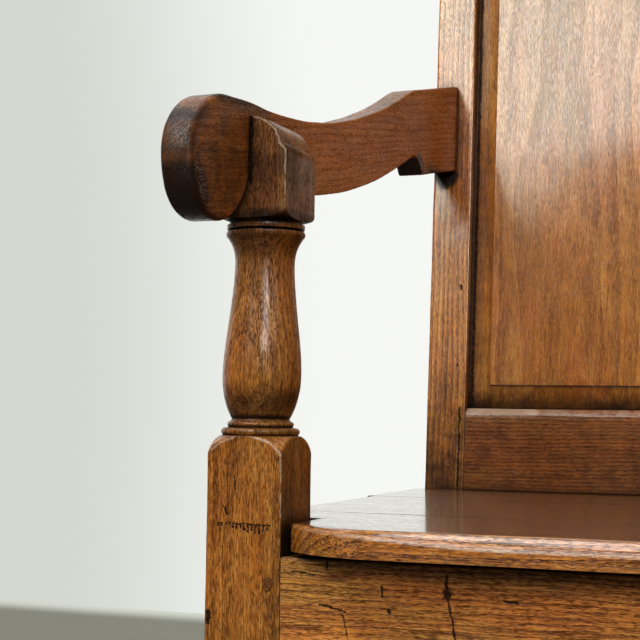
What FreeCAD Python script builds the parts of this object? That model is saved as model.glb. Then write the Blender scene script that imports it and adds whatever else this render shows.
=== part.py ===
import FreeCAD, Part
import math
import os

from FreeCAD import Vector

os.makedirs("parts", exist_ok=True)

# Whole bench: X runs along the seat, Y from front to back, Z up from the floor
bench_length = 1500.0
seat_height = 440.0
seat_depth = 481.5
back_rise = 620.0
back_rake = 4.0

# Clearances shared by every joint
joint_gap = 0.2
peg_gap = 0.15
board_gap = 1.2

# Front posts: square blocks with turned stages between them
post_size = 54.0
post_arris = 1.0
rail_block_rise = 57.0
rail_block_drop = 140.0
arm_stage_length = 144.5
stretcher_block_height = 86.0
foot_height = 70.0
block_shoulder = 15.0
cheek_top = 272.8
cheek_ovolo_width = 21.5
cheek_ovolo_drop = 19.2
cheek_ovolo_middle = (0.68, 0.4)
cheek_round_width = 2.8
cheek_round_drop = 7.3
cheek_round_middle = (0.7, 0.36)

# Turned profile, radii and heights
block_corner_margin = 0.6
shoulder_middle = (0.63, 0.4)
undercut_radius = 24.8
undercut_height = 2.1
arm_block_shoulder = 7.6
arm_shoulder_middle = (0.73, 0.33)
ring_radius = 27.0
foot_ring_height = 2.7
bead_radius = 27.0
bead_height = 5.1
small_bead_radius = 23.2
small_bead_height = 4.5
bead_quirk = 1.2
neck_radius = 19.8
neck_height = 1.6
neck_handle = (0.39, 0.17)
belly_radius = 27.0
belly_rise = 30.0
belly_low_handle = 0.47
belly_high_handle = 0.29
waist_radius = 20.5
waist_low_handle = 0.68
waist_high_handle = 0.48
flare_height = 17.6
flare_handle = (0.46, 0.77)
low_collar_radius = 26.8
low_collar_height = 3.7
collar_groove_radius = 24.3
collar_groove_height = 1.9
high_collar_radius = 26.6
high_collar_height = 3.4
foot_ball_radius = 25.0
foot_ball_share = 0.4
foot_neck_radius = 18.0
foot_neck_share = 0.82
foot_pad_radius = 17.0
foot_handles = (0.12, 0.26, 0.62, 0.66)

# Arms: planks on edge, lapped on the outer half of the posts
arm_thickness = 22.5
arm_inset = 5.0
arm_rest = 229.0
arm_nose_reach = 90.0
arm_nose_drop = 33.4
arm_shelf_top = 282.8
arm_back_top = 397.5
arm_back_bottom = 312.3
arm_nose_height = 236.0
arm_nose_bottom_run = 40.5
arm_knuckle_top = 280.0
arm_knuckle_reach = 36.0
arm_shelf_reach = 23.0
arm_brow_setback = 136.5
arm_brow_top = 356.5
arm_crest_setback = 109.5
arm_crest_top = 366.0
arm_notch_setback = 113.5
arm_notch_top = 306.0
arm_notch_drop = 15.0
arm_notch_foot = 21.5
arm_heel_reach = 1.5
arm_tenon_thickness = 9.0
arm_tenon_margin = 16.0
arm_tenon_length = 24.0

# How full the arm's curves are: shares of the run and the rise between their ends
nose_front_handle = 0.48
nose_under_handle = 0.28
throat_front_handle = 0.57
throat_back_handle = (0.17, 0.5)
underside_front_handle = (0.306, 0.052)
underside_back_handle = (0.662, 0.403)
notch_middle_share = (0.7, 0.43)
crest_handle = (0.26, 0.17)
brow_back_handle = (0.41, 0.49)
brow_front_handle = (0.186, 0.35)
shelf_back_handle = 0.42
shelf_front_handle = 0.4
knuckle_back_handle = (0.33, 0.35)
knuckle_front_handle = (0.42, 0.026)
nose_top_handle = 0.62

# Back posts: straight legs to the seat, then raked stiles
stile_width = 38.0
stile_depth = 40.0

# Back frame of rails, muntins and fielded panels
back_rail_thickness = 24.0
bottom_rail_height = 79.0
bottom_rail_chamfer = 6.0
top_rail_height = 92.0
muntin_width = 62.0
panel_count = 4
panel_groove_depth = 10.0
panel_engagement = 8.0
panel_groove_front = 10.0
panel_tongue = 6.0
panel_bevel_rise = 3.2
panel_bevel_width = 22.5
panel_field_rise = 3.2
frame_tenon_length = 24.0
frame_tenon_thickness = 6.5
frame_tenon_margin = 12.0
muntin_tenon_length = 30.0
muntin_tenon_width = 38.0

# Seat boards
seat_thickness = 18.0
seat_overhang = 30.0
seat_corner_radius = 90.0
seat_corner_start = 0.5
seat_nosing_radius = 5.0
nosing_limit = 0.45
front_board_back = 124.0
middle_board_back = 339.0
front_board_end = 0.0
middle_board_end = 3.0
back_board_end = -4.0
post_notch_side_gap = 7.5
post_notch_back_gap = 3.0
stile_notch_gap = 1.0
board_back_margin = 8.0

# Seat frame
front_rail_height = 100.0
front_rail_thickness = 26.0
front_rail_drop = 4.0
side_rail_height = 100.0
side_rail_thickness = 24.0
side_rail_inset = 6.0
back_seat_rail_height = 84.0
back_seat_rail_thickness = 24.0
back_seat_rail_inset = 10.0
seat_tenon_thickness = 9.0
front_tenon_length = 32.0
front_tenon_inset = 9.0
side_tenon_length = 30.0
leg_tenon_length = 18.0
tenon_margin = 12.0
bearer_count = 2
bearer_width = 46.0
bearer_height = 52.0
bearer_tenon = 12.0

# Stretchers
stretcher_height = 44.0
stretcher_thickness = 22.0
stretcher_tenon_thickness = 10.0
stretcher_tenon_margin = 7.0
stretcher_front_tenon = 26.0
stretcher_side_tenon = 17.0
rear_tenon_setback = 20.0

# Whittled oak pegs, oval in section
peg_width = 7.2
peg_height = 9.2
peg_flat_share = 0.42
peg_proud = 0.6
peg_setback = 8.7
side_peg_setback = 10.5
rear_peg_setback = 11.3
peg_length = 27.0
peg_spacing = 44.0
peg_drop = 40.4
small_peg = 6.4
small_peg_length = 20.0
stretcher_peg_grip = 4.0
lap_peg_length = 36.0
lap_peg_places = ((0.3, 18.0), (0.7, 32.0))
stile_peg_share = 0.67
bottom_rail_peg_shares = (0.32, 0.68)
top_rail_peg_shares = (0.33, 0.7)
muntin_peg_share = 0.65

# Derived places
rake = math.radians(back_rake)
face_height = back_rise / math.cos(rake)
front_face = -(arm_nose_reach + seat_depth + back_rise * math.tan(rake) + stile_depth) / 2 + arm_nose_reach
stile_out = arm_inset
stile_in = arm_inset + stile_width
seat_under = seat_height - seat_thickness
rail_block_top = seat_height + rail_block_rise
rail_block_bottom = seat_height - rail_block_drop
arm_block_bottom = rail_block_top + arm_stage_length
stretcher_block_bottom = foot_height
stretcher_block_top = foot_height + stretcher_block_height
block_corner = post_size / math.sqrt(2) + block_corner_margin
post_centre = post_size / 2
stretcher_bottom = foot_height + (stretcher_block_height - stretcher_height) / 2


def box(x0, x1, y0, y1, z0, z1):
    return Part.makeBox(x1 - x0, y1 - y0, z1 - z0, Vector(x0, y0, z0))


def joined(first, others):
    return first.fuse(others).removeSplitter()


def line(a, b):
    return Part.makeLine(a, b)


def bezier(*poles):
    curve = Part.BezierCurve()
    curve.setPoles(list(poles))
    return curve.toShape()


def arc(a, through, b):
    return Part.Arc(a, through, b).toShape()


def slab(edges, direction):
    return Part.Face(Part.Wire(edges)).extrude(direction)


def polygon_slab(points, direction):
    return Part.Face(Part.makePolygon(points + [points[0]])).extrude(direction)


def mirrored(shape):
    return shape.mirror(Vector(0, 0, 0), Vector(1, 0, 0))


def at_left(shape):
    return shape.translated(Vector(-bench_length / 2, front_face, 0))


def at_right(shape):
    return mirrored(at_left(shape))


def placed(shape):
    return shape.translated(Vector(0, front_face, 0))


def leaned(shape):
    turned_back = shape.copy()
    turned_back.rotate(Vector(0, 0, 0), Vector(1, 0, 0), -back_rake)
    turned_back.translate(Vector(0, seat_depth, seat_height))
    return turned_back


def export(name, shape):
    shape.exportStep("parts/" + name + ".step")


# Turned stages, drawn as radius and height and spun about the post's axis
def rz(radius, height):
    return Vector(post_centre + radius, post_centre, height)


def shoulder(crest, away, radius=ring_radius, rise=block_shoulder, middle=shoulder_middle):
    through = rz(radius + middle[0] * (block_corner - radius), crest + away * middle[1] * rise)
    return arc(rz(radius, crest), through, rz(block_corner, crest + away * rise))


def bead(radius, bottom, height):
    foot = rz(radius - bead_quirk, bottom)
    return arc(foot, rz(radius, bottom + height / 2), rz(radius - bead_quirk, bottom + height))


def vase_edges(bottom, top):
    """The run from one block's shoulder up to the top of the collar under the next block."""
    small_bead = bottom + bead_height
    bead_top = small_bead + small_bead_height
    neck = bead_top + neck_height
    belly = neck + belly_rise
    high_collar = top - high_collar_height
    groove = high_collar - collar_groove_height
    low_collar = groove - low_collar_height
    waist = low_collar - flare_height
    sweep = waist - belly
    return [
        shoulder(bottom, -1),
        line(rz(ring_radius, bottom), rz(bead_radius - bead_quirk, bottom)),
        bead(bead_radius, bottom, bead_height),
        line(rz(bead_radius - bead_quirk, small_bead), rz(small_bead_radius - bead_quirk, small_bead)),
        bead(small_bead_radius, small_bead, small_bead_height),
        line(rz(small_bead_radius - bead_quirk, bead_top), rz(neck_radius, neck)),
        bezier(
            rz(neck_radius, neck),
            rz(neck_radius + neck_handle[0] * (belly_radius - neck_radius), neck + neck_handle[1] * belly_rise),
            rz(belly_radius, neck + belly_low_handle * belly_rise),
            rz(belly_radius, belly),
        ),
        bezier(
            rz(belly_radius, belly),
            rz(belly_radius, belly + belly_high_handle * sweep),
            rz(waist_radius, belly + waist_low_handle * sweep),
            rz(waist_radius, waist),
        ),
        bezier(
            rz(waist_radius, waist),
            rz(waist_radius, waist + waist_high_handle * flare_height),
            rz(waist_radius + flare_handle[0] * (low_collar_radius - waist_radius),
               waist + flare_handle[1] * flare_height),
            rz(low_collar_radius, low_collar),
        ),
        line(rz(low_collar_radius, low_collar), rz(low_collar_radius, groove)),
        line(rz(low_collar_radius, groove), rz(collar_groove_radius, groove + collar_groove_height / 2)),
        line(rz(collar_groove_radius, groove + collar_groove_height / 2), rz(high_collar_radius, high_collar)),
        line(rz(high_collar_radius, high_collar), rz(high_collar_radius, top)),
    ]


def plain_shoulder(top):
    return [line(rz(high_collar_radius, top), rz(ring_radius, top)), shoulder(top, 1)]


def undercut_shoulder(top):
    crest = top + undercut_height
    return [
        line(rz(high_collar_radius, top), rz(undercut_radius, top)),
        line(rz(undercut_radius, top), rz(undercut_radius, crest)),
        shoulder(crest, 1, undercut_radius, arm_block_shoulder, arm_shoulder_middle),
    ]


def foot_edges(top):
    ball = foot_ball_share * top
    neck = foot_neck_share * top
    ring_bottom = top - foot_ring_height
    low, below_ball, above_ball, below_neck = [share * top for share in foot_handles]
    return [
        line(rz(0, 0), rz(foot_pad_radius, 0)),
        bezier(rz(foot_pad_radius, 0), rz(foot_ball_radius, low), rz(foot_ball_radius, below_ball),
               rz(foot_ball_radius, ball)),
        bezier(rz(foot_ball_radius, ball), rz(foot_ball_radius, above_ball), rz(foot_neck_radius, below_neck),
               rz(foot_neck_radius, neck)),
        line(rz(foot_neck_radius, neck), rz(ring_radius, ring_bottom)),
        line(rz(ring_radius, ring_bottom), rz(ring_radius, top)),
        shoulder(top, 1),
    ]


def turned_billet():
    edges = foot_edges(stretcher_block_bottom)
    edges.append(line(rz(block_corner, stretcher_block_bottom + block_shoulder),
                      rz(block_corner, stretcher_block_top - block_shoulder)))
    edges += vase_edges(stretcher_block_top, rail_block_bottom) + plain_shoulder(rail_block_bottom)
    edges.append(line(rz(block_corner, rail_block_bottom + block_shoulder),
                      rz(block_corner, rail_block_top - block_shoulder)))
    edges += vase_edges(rail_block_top, arm_block_bottom) + undercut_shoulder(arm_block_bottom)
    top = seat_height + cheek_top
    shoulder_end = arm_block_bottom + undercut_height + arm_block_shoulder
    edges.append(line(rz(block_corner, shoulder_end), rz(block_corner, top)))
    edges.append(line(rz(block_corner, top), rz(0, top)))
    edges.append(line(rz(0, top), rz(0, 0)))
    face = Part.Face(Part.Wire(edges))
    return face.revolve(Vector(post_centre, post_centre, 0), Vector(0, 0, 1), 360)


# Front posts
def square_billet():
    a = post_arris
    s = post_size
    corners = [(a, 0), (s - a, 0), (s, a), (s, s - a), (s - a, s), (a, s), (0, s - a), (0, a)]
    points = [Vector(x, y, 0) for x, y in corners]
    return polygon_slab(points, Vector(0, 0, seat_height + cheek_top))


def cheek_waste():
    top = seat_height + cheek_top
    start = arm_inset + arm_thickness
    ovolo_end = start + cheek_ovolo_width
    ovolo_foot = top - cheek_ovolo_drop
    round_start = post_size - cheek_round_width
    round_foot = ovolo_foot - cheek_round_drop
    outside = post_size + 1
    above = top + 1

    def at(x, z):
        return Vector(x, -1, z)

    ovolo_run, ovolo_fall = cheek_ovolo_middle
    ovolo_middle = at(start + ovolo_run * cheek_ovolo_width, top - ovolo_fall * cheek_ovolo_drop)
    round_run, round_fall = cheek_round_middle
    round_middle = at(round_start + round_run * cheek_round_width, ovolo_foot - round_fall * cheek_round_drop)
    edges = [
        arc(at(start, top), ovolo_middle, at(ovolo_end, ovolo_foot)),
        line(at(ovolo_end, ovolo_foot), at(round_start, ovolo_foot)),
        arc(at(round_start, ovolo_foot), round_middle, at(post_size, round_foot)),
        line(at(post_size, round_foot), at(outside, round_foot)),
        line(at(outside, round_foot), at(outside, above)),
        line(at(outside, above), at(start, above)),
        line(at(start, above), at(start, top)),
    ]
    return slab(edges, Vector(0, post_size + 2, 0))


def front_post():
    post = square_billet().common(turned_billet())
    above = seat_height + cheek_top + 1
    set_in = box(-1, arm_inset, -1, post_size + 1, arm_block_bottom, above)
    lap = box(-1, arm_inset + arm_thickness, -1, post_size + 1, seat_height + arm_rest, above)
    return post.cut([set_in, lap, cheek_waste()])


# Arms
def stile_face(rise):
    return seat_depth + math.tan(rake) * rise


def arm_plank():
    def at(y, rise):
        return Vector(arm_inset, y, seat_height + rise)

    def between(start, end, shares):
        return at(start[0] + shares[0] * (end[0] - start[0]), start[1] + shares[1] * (end[1] - start[1]))

    low = arm_rest - arm_nose_drop
    tip = (-arm_nose_reach, arm_nose_height)
    nose_bottom = (arm_nose_bottom_run - arm_nose_reach, low)
    throat_run = -nose_bottom[0]
    heel = (-arm_heel_reach, arm_rest)
    post_back = (post_size, arm_rest)
    notch = (seat_depth - arm_notch_setback, arm_notch_top)
    notch_foot = (notch[0] + arm_notch_foot, arm_notch_top - arm_notch_drop)
    back_bottom = (stile_face(arm_back_bottom), arm_back_bottom)
    back_top = (stile_face(arm_back_top), arm_back_top)
    crest = (seat_depth - arm_crest_setback, arm_crest_top)
    brow = (seat_depth - arm_brow_setback, arm_brow_top)
    shelf = (arm_shelf_reach, arm_shelf_top)
    knuckle = (-arm_knuckle_reach, arm_knuckle_top)
    nose_top = arm_nose_height + nose_top_handle * (arm_knuckle_top - arm_nose_height)
    edges = [
        bezier(at(*tip), at(-arm_nose_reach, low + nose_front_handle * (arm_nose_height - low)),
               at(-arm_nose_reach + nose_under_handle * arm_nose_bottom_run, low), at(*nose_bottom)),
        bezier(at(*nose_bottom), at(-throat_front_handle * throat_run, low),
               at(-throat_back_handle[0] * throat_run, low + throat_back_handle[1] * arm_nose_drop), at(*heel)),
        line(at(*heel), at(*post_back)),
        bezier(at(*post_back), between(post_back, notch, underside_front_handle),
               between(post_back, notch, underside_back_handle), at(*notch)),
        arc(at(*notch), between(notch, notch_foot, notch_middle_share), at(*notch_foot)),
        line(at(*notch_foot), at(*back_bottom)),
        line(at(*back_bottom), at(*back_top)),
        line(at(*back_top), at(*crest)),
        bezier(at(*crest), between(crest, brow, crest_handle), between(brow, crest, brow_back_handle), at(*brow)),
        bezier(at(*brow), between(brow, shelf, brow_front_handle), between(shelf, brow, (shelf_back_handle, 0)),
               at(*shelf)),
        bezier(at(*shelf), between(shelf, knuckle, (shelf_front_handle, 0)),
               between(knuckle, shelf, knuckle_back_handle), at(*knuckle)),
        bezier(at(*knuckle), between(knuckle, tip, knuckle_front_handle), at(-arm_nose_reach, nose_top), at(*tip)),
    ]
    return slab(edges, Vector(arm_thickness, 0, 0))


# Tenons, each given by its corners; the mortise is the same box with the joint's gap round it
def grown(bounds, gap):
    x0, x1, y0, y1, z0, z1 = bounds
    return box(x0 - gap, x1 + gap, y0 - gap, y1 + gap, z0 - gap, z1 + gap)


arm_tenon_side = arm_inset + (arm_thickness - arm_tenon_thickness) / 2
arm_tenon_low = arm_back_bottom + arm_tenon_margin
arm_tenon_high = arm_back_top - arm_tenon_margin
arm_tenon = (
    arm_tenon_side,
    arm_tenon_side + arm_tenon_thickness,
    stile_face(arm_tenon_low) - 1,
    stile_face(arm_tenon_low) + arm_tenon_length,
    seat_height + arm_tenon_low,
    seat_height + arm_tenon_high,
)

front_rail_top = seat_under - front_rail_drop
front_rail_bottom = front_rail_top - front_rail_height
front_tenon = (
    post_size - front_tenon_length,
    post_size,
    front_tenon_inset,
    front_tenon_inset + seat_tenon_thickness,
    front_rail_bottom + tenon_margin,
    front_rail_top - tenon_margin,
)

side_rail_bottom = seat_under - side_rail_height
side_tenon_x = side_rail_inset + (side_rail_thickness - seat_tenon_thickness) / 2
side_front_tenon = (
    side_tenon_x,
    side_tenon_x + seat_tenon_thickness,
    post_size - side_tenon_length,
    post_size,
    side_rail_bottom + tenon_margin,
    seat_under - tenon_margin,
)
side_back_tenon = (
    side_tenon_x,
    side_tenon_x + seat_tenon_thickness,
    seat_depth,
    seat_depth + leg_tenon_length,
    side_rail_bottom + tenon_margin,
    seat_under - tenon_margin,
)

back_seat_rail_bottom = seat_under - back_seat_rail_height
back_seat_tenon = (
    stile_in - frame_tenon_length,
    stile_in,
    seat_depth + rear_tenon_setback,
    seat_depth + rear_tenon_setback + seat_tenon_thickness,
    back_seat_rail_bottom + tenon_margin,
    seat_under - tenon_margin,
)

stretcher_top = stretcher_bottom + stretcher_height
stretcher_side = (post_size - stretcher_thickness) / 2
stretcher_tenon_side = (post_size - stretcher_tenon_thickness) / 2
front_stretcher_tenon = (
    post_size - stretcher_front_tenon,
    post_size,
    stretcher_tenon_side,
    stretcher_tenon_side + stretcher_tenon_thickness,
    stretcher_bottom + stretcher_tenon_margin,
    stretcher_top - stretcher_tenon_margin,
)
side_stretcher_tenon = (
    stretcher_tenon_side,
    stretcher_tenon_side + stretcher_tenon_thickness,
    post_size - stretcher_side_tenon,
    post_size,
    stretcher_bottom + stretcher_tenon_margin,
    stretcher_top - stretcher_tenon_margin,
)
side_stretcher_back_tenon = (
    stretcher_tenon_side,
    stretcher_tenon_side + stretcher_tenon_thickness,
    seat_depth,
    seat_depth + stretcher_side_tenon,
    stretcher_bottom + stretcher_tenon_margin,
    stretcher_top - stretcher_tenon_margin,
)
back_stretcher_y = seat_depth + (stile_depth - stretcher_thickness) / 2
back_stretcher_tenon = (
    stile_in - frame_tenon_length,
    stile_in,
    seat_depth + rear_tenon_setback,
    seat_depth + rear_tenon_setback + seat_tenon_thickness,
    stretcher_bottom + stretcher_tenon_margin,
    stretcher_top - stretcher_tenon_margin,
)


# Pegs: eight-sided, tall in section, driven from a face along X or along Y
def octagon(width, height):
    a = width / 2
    b = height / 2
    c = peg_flat_share
    return [(a, c * b), (c * a, b), (-c * a, b), (-a, c * b), (-a, -c * b), (-c * a, -b), (c * a, -b), (a, -c * b)]


def peg(spec, gap=0.0):
    axis, x, y, z, length, width, height = spec
    side = math.copysign(1, length)
    start = -side * (peg_proud + gap)
    stretch = Vector(0, 0, 0)
    stretch[axis] = length - start + side * gap
    corners = []
    for u, v in octagon(width + 2 * gap, height + 2 * gap):
        corner = Vector(x, y, z + v)
        corner[1 - axis] += u
        corner[axis] += start
        corners.append(corner)
    return polygon_slab(corners, stretch)


def holes(specs):
    return [peg(spec, peg_gap) for spec in specs]


def pegs(specs):
    return [peg(spec) for spec in specs]


# Back posts: a straight leg and a raked stile sawn from one piece
def back_post():
    y0 = seat_depth
    y1 = seat_depth + stile_depth
    top = Vector(stile_out, y0 + face_height * math.sin(rake), seat_height + face_height * math.cos(rake))
    top_back = top + Vector(0, stile_depth * math.cos(rake), -stile_depth * math.sin(rake))
    rear_shift = stile_depth * (1 - math.cos(rake)) / math.sin(rake)
    points = [
        Vector(stile_out, y0, 0),
        Vector(stile_out, y0, seat_height),
        top,
        top_back,
        Vector(stile_out, y1, seat_height - rear_shift),
        Vector(stile_out, y1, 0),
    ]
    return polygon_slab(points, Vector(stile_width, 0, 0))


# Back frame, drawn upright with its front face at Y = 0 and the seat at Z = 0, then leaned back
frame_half = bench_length / 2 - stile_in
opening_width = (2 * frame_half - (panel_count - 1) * muntin_width) / panel_count
opening_bottom = bottom_rail_height
opening_top = face_height - top_rail_height
bevel_in_groove = panel_bevel_rise * panel_engagement / (panel_engagement + panel_bevel_width)
groove_back = panel_groove_front + panel_tongue + bevel_in_groove + 2 * joint_gap
tenon_front = panel_groove_front + (groove_back - panel_groove_front - frame_tenon_thickness) / 2


def opening_left(index):
    return -frame_half + index * (opening_width + muntin_width)


def muntin_left(index):
    return opening_left(index) + opening_width


def panel_groove(index):
    x0 = opening_left(index) - panel_groove_depth
    x1 = opening_left(index) + opening_width + panel_groove_depth
    z0 = opening_bottom - panel_groove_depth
    z1 = opening_top + panel_groove_depth
    return box(x0, x1, panel_groove_front, groove_back, z0, z1)


def panel(index):
    x0 = opening_left(index) - panel_engagement
    x1 = opening_left(index) + opening_width + panel_engagement
    z0 = opening_bottom - panel_engagement
    z1 = opening_top + panel_engagement
    back = groove_back - joint_gap
    tongue = back - panel_tongue
    edge = panel_engagement + panel_bevel_width
    field_foot = tongue - panel_bevel_rise
    field = field_foot - panel_field_rise
    plate = box(x0, x1, tongue, back, z0, z1)
    bevel = Part.makeWedge(x0 + edge, field_foot, z0 + edge, z0, x0, x1 - edge, tongue, z1 - edge, z1, x1)
    raised = box(x0 + edge, x1 - edge, field, field_foot, z0 + edge, z1 - edge)
    return joined(plate, [bevel, raised])


def rail_tenon(z0, z1):
    x0 = -frame_half - frame_tenon_length
    return (x0, -frame_half, tenon_front, tenon_front + frame_tenon_thickness, z0, z1)


def muntin_tenon(index, z0, z1):
    x0 = muntin_left(index) + (muntin_width - muntin_tenon_width) / 2
    return (x0, x0 + muntin_tenon_width, tenon_front, tenon_front + frame_tenon_thickness, z0, z1)


bottom_tenon = rail_tenon(frame_tenon_margin, bottom_rail_height - panel_groove_depth - joint_gap)
top_tenon = rail_tenon(opening_top + frame_tenon_margin, face_height - frame_tenon_margin)
grooves = [panel_groove(index) for index in range(panel_count)]
low_muntin_tenons = [
    muntin_tenon(index, opening_bottom - muntin_tenon_length, opening_bottom) for index in range(panel_count - 1)
]
high_muntin_tenons = [
    muntin_tenon(index, opening_top, opening_top + muntin_tenon_length) for index in range(panel_count - 1)
]
muntin_mortises = [grown(bounds, joint_gap) for bounds in low_muntin_tenons + high_muntin_tenons]


def rail_chamfer(index):
    x0 = opening_left(index)
    z = bottom_rail_height
    c = bottom_rail_chamfer
    points = [Vector(x0, 0, z - c), Vector(x0, c, z), Vector(x0, -1, z + 1), Vector(x0, -1, z - c)]
    return polygon_slab(points, Vector(opening_width, 0, 0))


def bottom_rail():
    rail = box(-frame_half, frame_half, 0, back_rail_thickness, -back_rail_thickness, bottom_rail_height)
    rail = joined(rail, [box(*bottom_tenon), mirrored(box(*bottom_tenon))])
    return rail.cut(grooves + muntin_mortises + [rail_chamfer(index) for index in range(panel_count)])


def top_rail():
    rail = box(-frame_half, frame_half, 0, back_rail_thickness, opening_top, face_height)
    rail = joined(rail, [box(*top_tenon), mirrored(box(*top_tenon))])
    return rail.cut(grooves + muntin_mortises)


def muntin(index):
    x0 = muntin_left(index)
    upright = box(x0, x0 + muntin_width, 0, back_rail_thickness, opening_bottom, opening_top)
    upright = joined(upright, [box(*low_muntin_tenons[index]), box(*high_muntin_tenons[index])])
    return upright.cut(grooves[index:index + 2])


# Seat boards
def nosed(board, inner_y):
    top = []
    for edge in board.Edges:
        ends = edge.BoundBox
        if abs(ends.ZMin - seat_height) < 0.01 and abs(ends.ZMax - seat_height) < 0.01 and ends.YMax < inner_y:
            top.append(edge)
    return board.makeFillet(min(seat_nosing_radius, nosing_limit * seat_thickness), top)


def board_slab(points_and_edges):
    return slab(points_and_edges, Vector(0, 0, seat_thickness))


def front_board():
    half = bench_length / 2
    notch = half - post_size - post_notch_side_gap
    notch_back = post_size + post_notch_back_gap
    end = half - front_board_end
    back = front_board_back - board_gap / 2
    radius = seat_corner_radius
    rise = seat_corner_start + seat_overhang
    turn = math.acos((radius - rise) / radius)
    centre_x = notch - radius * math.sin(turn)
    centre_y = radius - seat_overhang

    def on_corner(side, angle):
        x = centre_x + radius * math.sin(angle)
        return Vector(side * x, centre_y - radius * math.cos(angle), seat_under)

    def at(x, y):
        return Vector(x, y, seat_under)

    edges = [
        arc(on_corner(-1, turn), on_corner(-1, turn / 2), on_corner(-1, 0)),
        line(on_corner(-1, 0), on_corner(1, 0)),
        arc(on_corner(1, 0), on_corner(1, turn / 2), on_corner(1, turn)),
        line(on_corner(1, turn), at(notch, notch_back)),
        line(at(notch, notch_back), at(end, notch_back)),
        line(at(end, notch_back), at(end, back)),
        line(at(end, back), at(-end, back)),
        line(at(-end, back), at(-end, notch_back)),
        line(at(-end, notch_back), at(-notch, notch_back)),
        line(at(-notch, notch_back), on_corner(-1, turn)),
    ]
    return nosed(board_slab(edges), 2 * seat_corner_start + 1)


def middle_board():
    end = bench_length / 2 - middle_board_end
    front = front_board_back + board_gap / 2
    return box(-end, end, front, middle_board_back - board_gap / 2, seat_under, seat_height)


def back_board():
    end = bench_length / 2 - back_board_end
    front = middle_board_back + board_gap / 2
    back = seat_depth + back_rail_thickness + board_back_margin
    board = box(-end, end, front, back, seat_under, seat_height)
    notch_x = frame_half - stile_notch_gap
    notch_y = seat_depth - stile_notch_gap
    notch = box(notch_x, end + 1, notch_y, back + 1, seat_under - 1, seat_height + 1)
    return board.cut([notch, mirrored(notch)])


# Rails and stretchers that run along the bench, with a tenon at each end
def long_rail(x_in, y0, y1, z0, z1, tenon):
    half = bench_length / 2 - x_in
    rail = placed(box(-half, half, y0, y1, z0, z1))
    return joined(rail, [at_left(box(*tenon)), at_right(box(*tenon))])


def side_rail(x0, x1, z0, z1, front_tenon_bounds, back_tenon_bounds):
    rail = box(x0, x1, post_size, seat_depth, z0, z1)
    return joined(rail, [box(*front_tenon_bounds), box(*back_tenon_bounds)])


bearer_places = [
    -bench_length / 2 + bench_length * (index + 1) / (bearer_count + 1) for index in range(bearer_count)
]
bearer_bottom = seat_under - bearer_height
bearer_back = seat_depth + back_seat_rail_inset


def bearer_tenons(x):
    low = bearer_bottom + tenon_margin
    high = front_rail_top - tenon_margin
    x0 = x - bearer_width / 2 + tenon_margin
    x1 = x + bearer_width / 2 - tenon_margin
    return [
        (x0, x1, front_rail_thickness - bearer_tenon, front_rail_thickness, low, high),
        (x0, x1, bearer_back, bearer_back + bearer_tenon, low, high),
    ]


def bearer(x):
    x0 = x - bearer_width / 2
    body = box(x0, x0 + bearer_width, front_rail_thickness, bearer_back, bearer_bottom, seat_under)
    return placed(joined(body, [box(*bounds) for bounds in bearer_tenons(x)]))


bearer_mortises = [
    placed(grown(bounds, joint_gap)) for x in bearer_places for bounds in bearer_tenons(x)
]

# Pegs of the left end; each one is an axis (0 for X, 1 for Y), a place on a face, a length and a size
ALONG_X = 0
ALONG_Y = 1
front_peg_x = post_size - peg_setback
front_peg_z = seat_height - peg_drop
side_peg_y = post_size - side_peg_setback
side_peg_z = seat_under - (side_rail_height - peg_spacing) / 2
leg_peg_y = seat_depth + leg_tenon_length / 2
rear_peg_x = stile_in - rear_peg_setback
leg_back = seat_depth + stile_depth
rear_peg_z = seat_under - (back_seat_rail_height - peg_spacing) / 2
rear_peg_length = stile_depth - leg_tenon_length
stretcher_z = stretcher_bottom + stretcher_height / 2
stretcher_peg_length = stretcher_tenon_side + stretcher_tenon_thickness + stretcher_peg_grip
oval = (peg_width, peg_height)
small = (small_peg, small_peg)

front_rail_pegs = [
    (ALONG_Y, front_peg_x, 0, front_peg_z - drop, peg_length) + oval for drop in (0, peg_spacing)
]
side_rail_front_pegs = [
    (ALONG_X, 0, side_peg_y, side_peg_z - drop, peg_length) + oval for drop in (0, peg_spacing)
]
side_rail_back_pegs = [
    (ALONG_X, stile_out, leg_peg_y, side_peg_z - drop, peg_length) + oval for drop in (0, peg_spacing)
]
back_seat_rail_pegs = [
    (ALONG_Y, rear_peg_x, leg_back, rear_peg_z - drop, -rear_peg_length) + oval for drop in (0, peg_spacing)
]
front_stretcher_pegs = [
    (ALONG_Y, post_size - stretcher_front_tenon / 2, 0, stretcher_z, stretcher_peg_length) + small
]
side_stretcher_front_pegs = [
    (ALONG_X, 0, post_size - stretcher_side_tenon / 2, stretcher_z, stretcher_peg_length) + small
]
side_stretcher_back_pegs = [
    (ALONG_X, stile_out, seat_depth + stretcher_side_tenon / 2, stretcher_z, stretcher_peg_length) + small
]
back_stretcher_pegs = [
    (ALONG_Y, rear_peg_x, leg_back, stretcher_z, -rear_peg_length) + small
]
arm_lap_pegs = [
    (ALONG_X, arm_inset, share * post_size, seat_height + arm_rest + rise, lap_peg_length) + small
    for share, rise in lap_peg_places
]
arm_tenon_rise = (arm_back_bottom + arm_back_top) / 2
arm_tenon_pegs = [
    (ALONG_X, stile_out, stile_face(arm_tenon_rise) + arm_tenon_length / 2, seat_height + arm_tenon_rise,
     peg_length) + small
]

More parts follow.
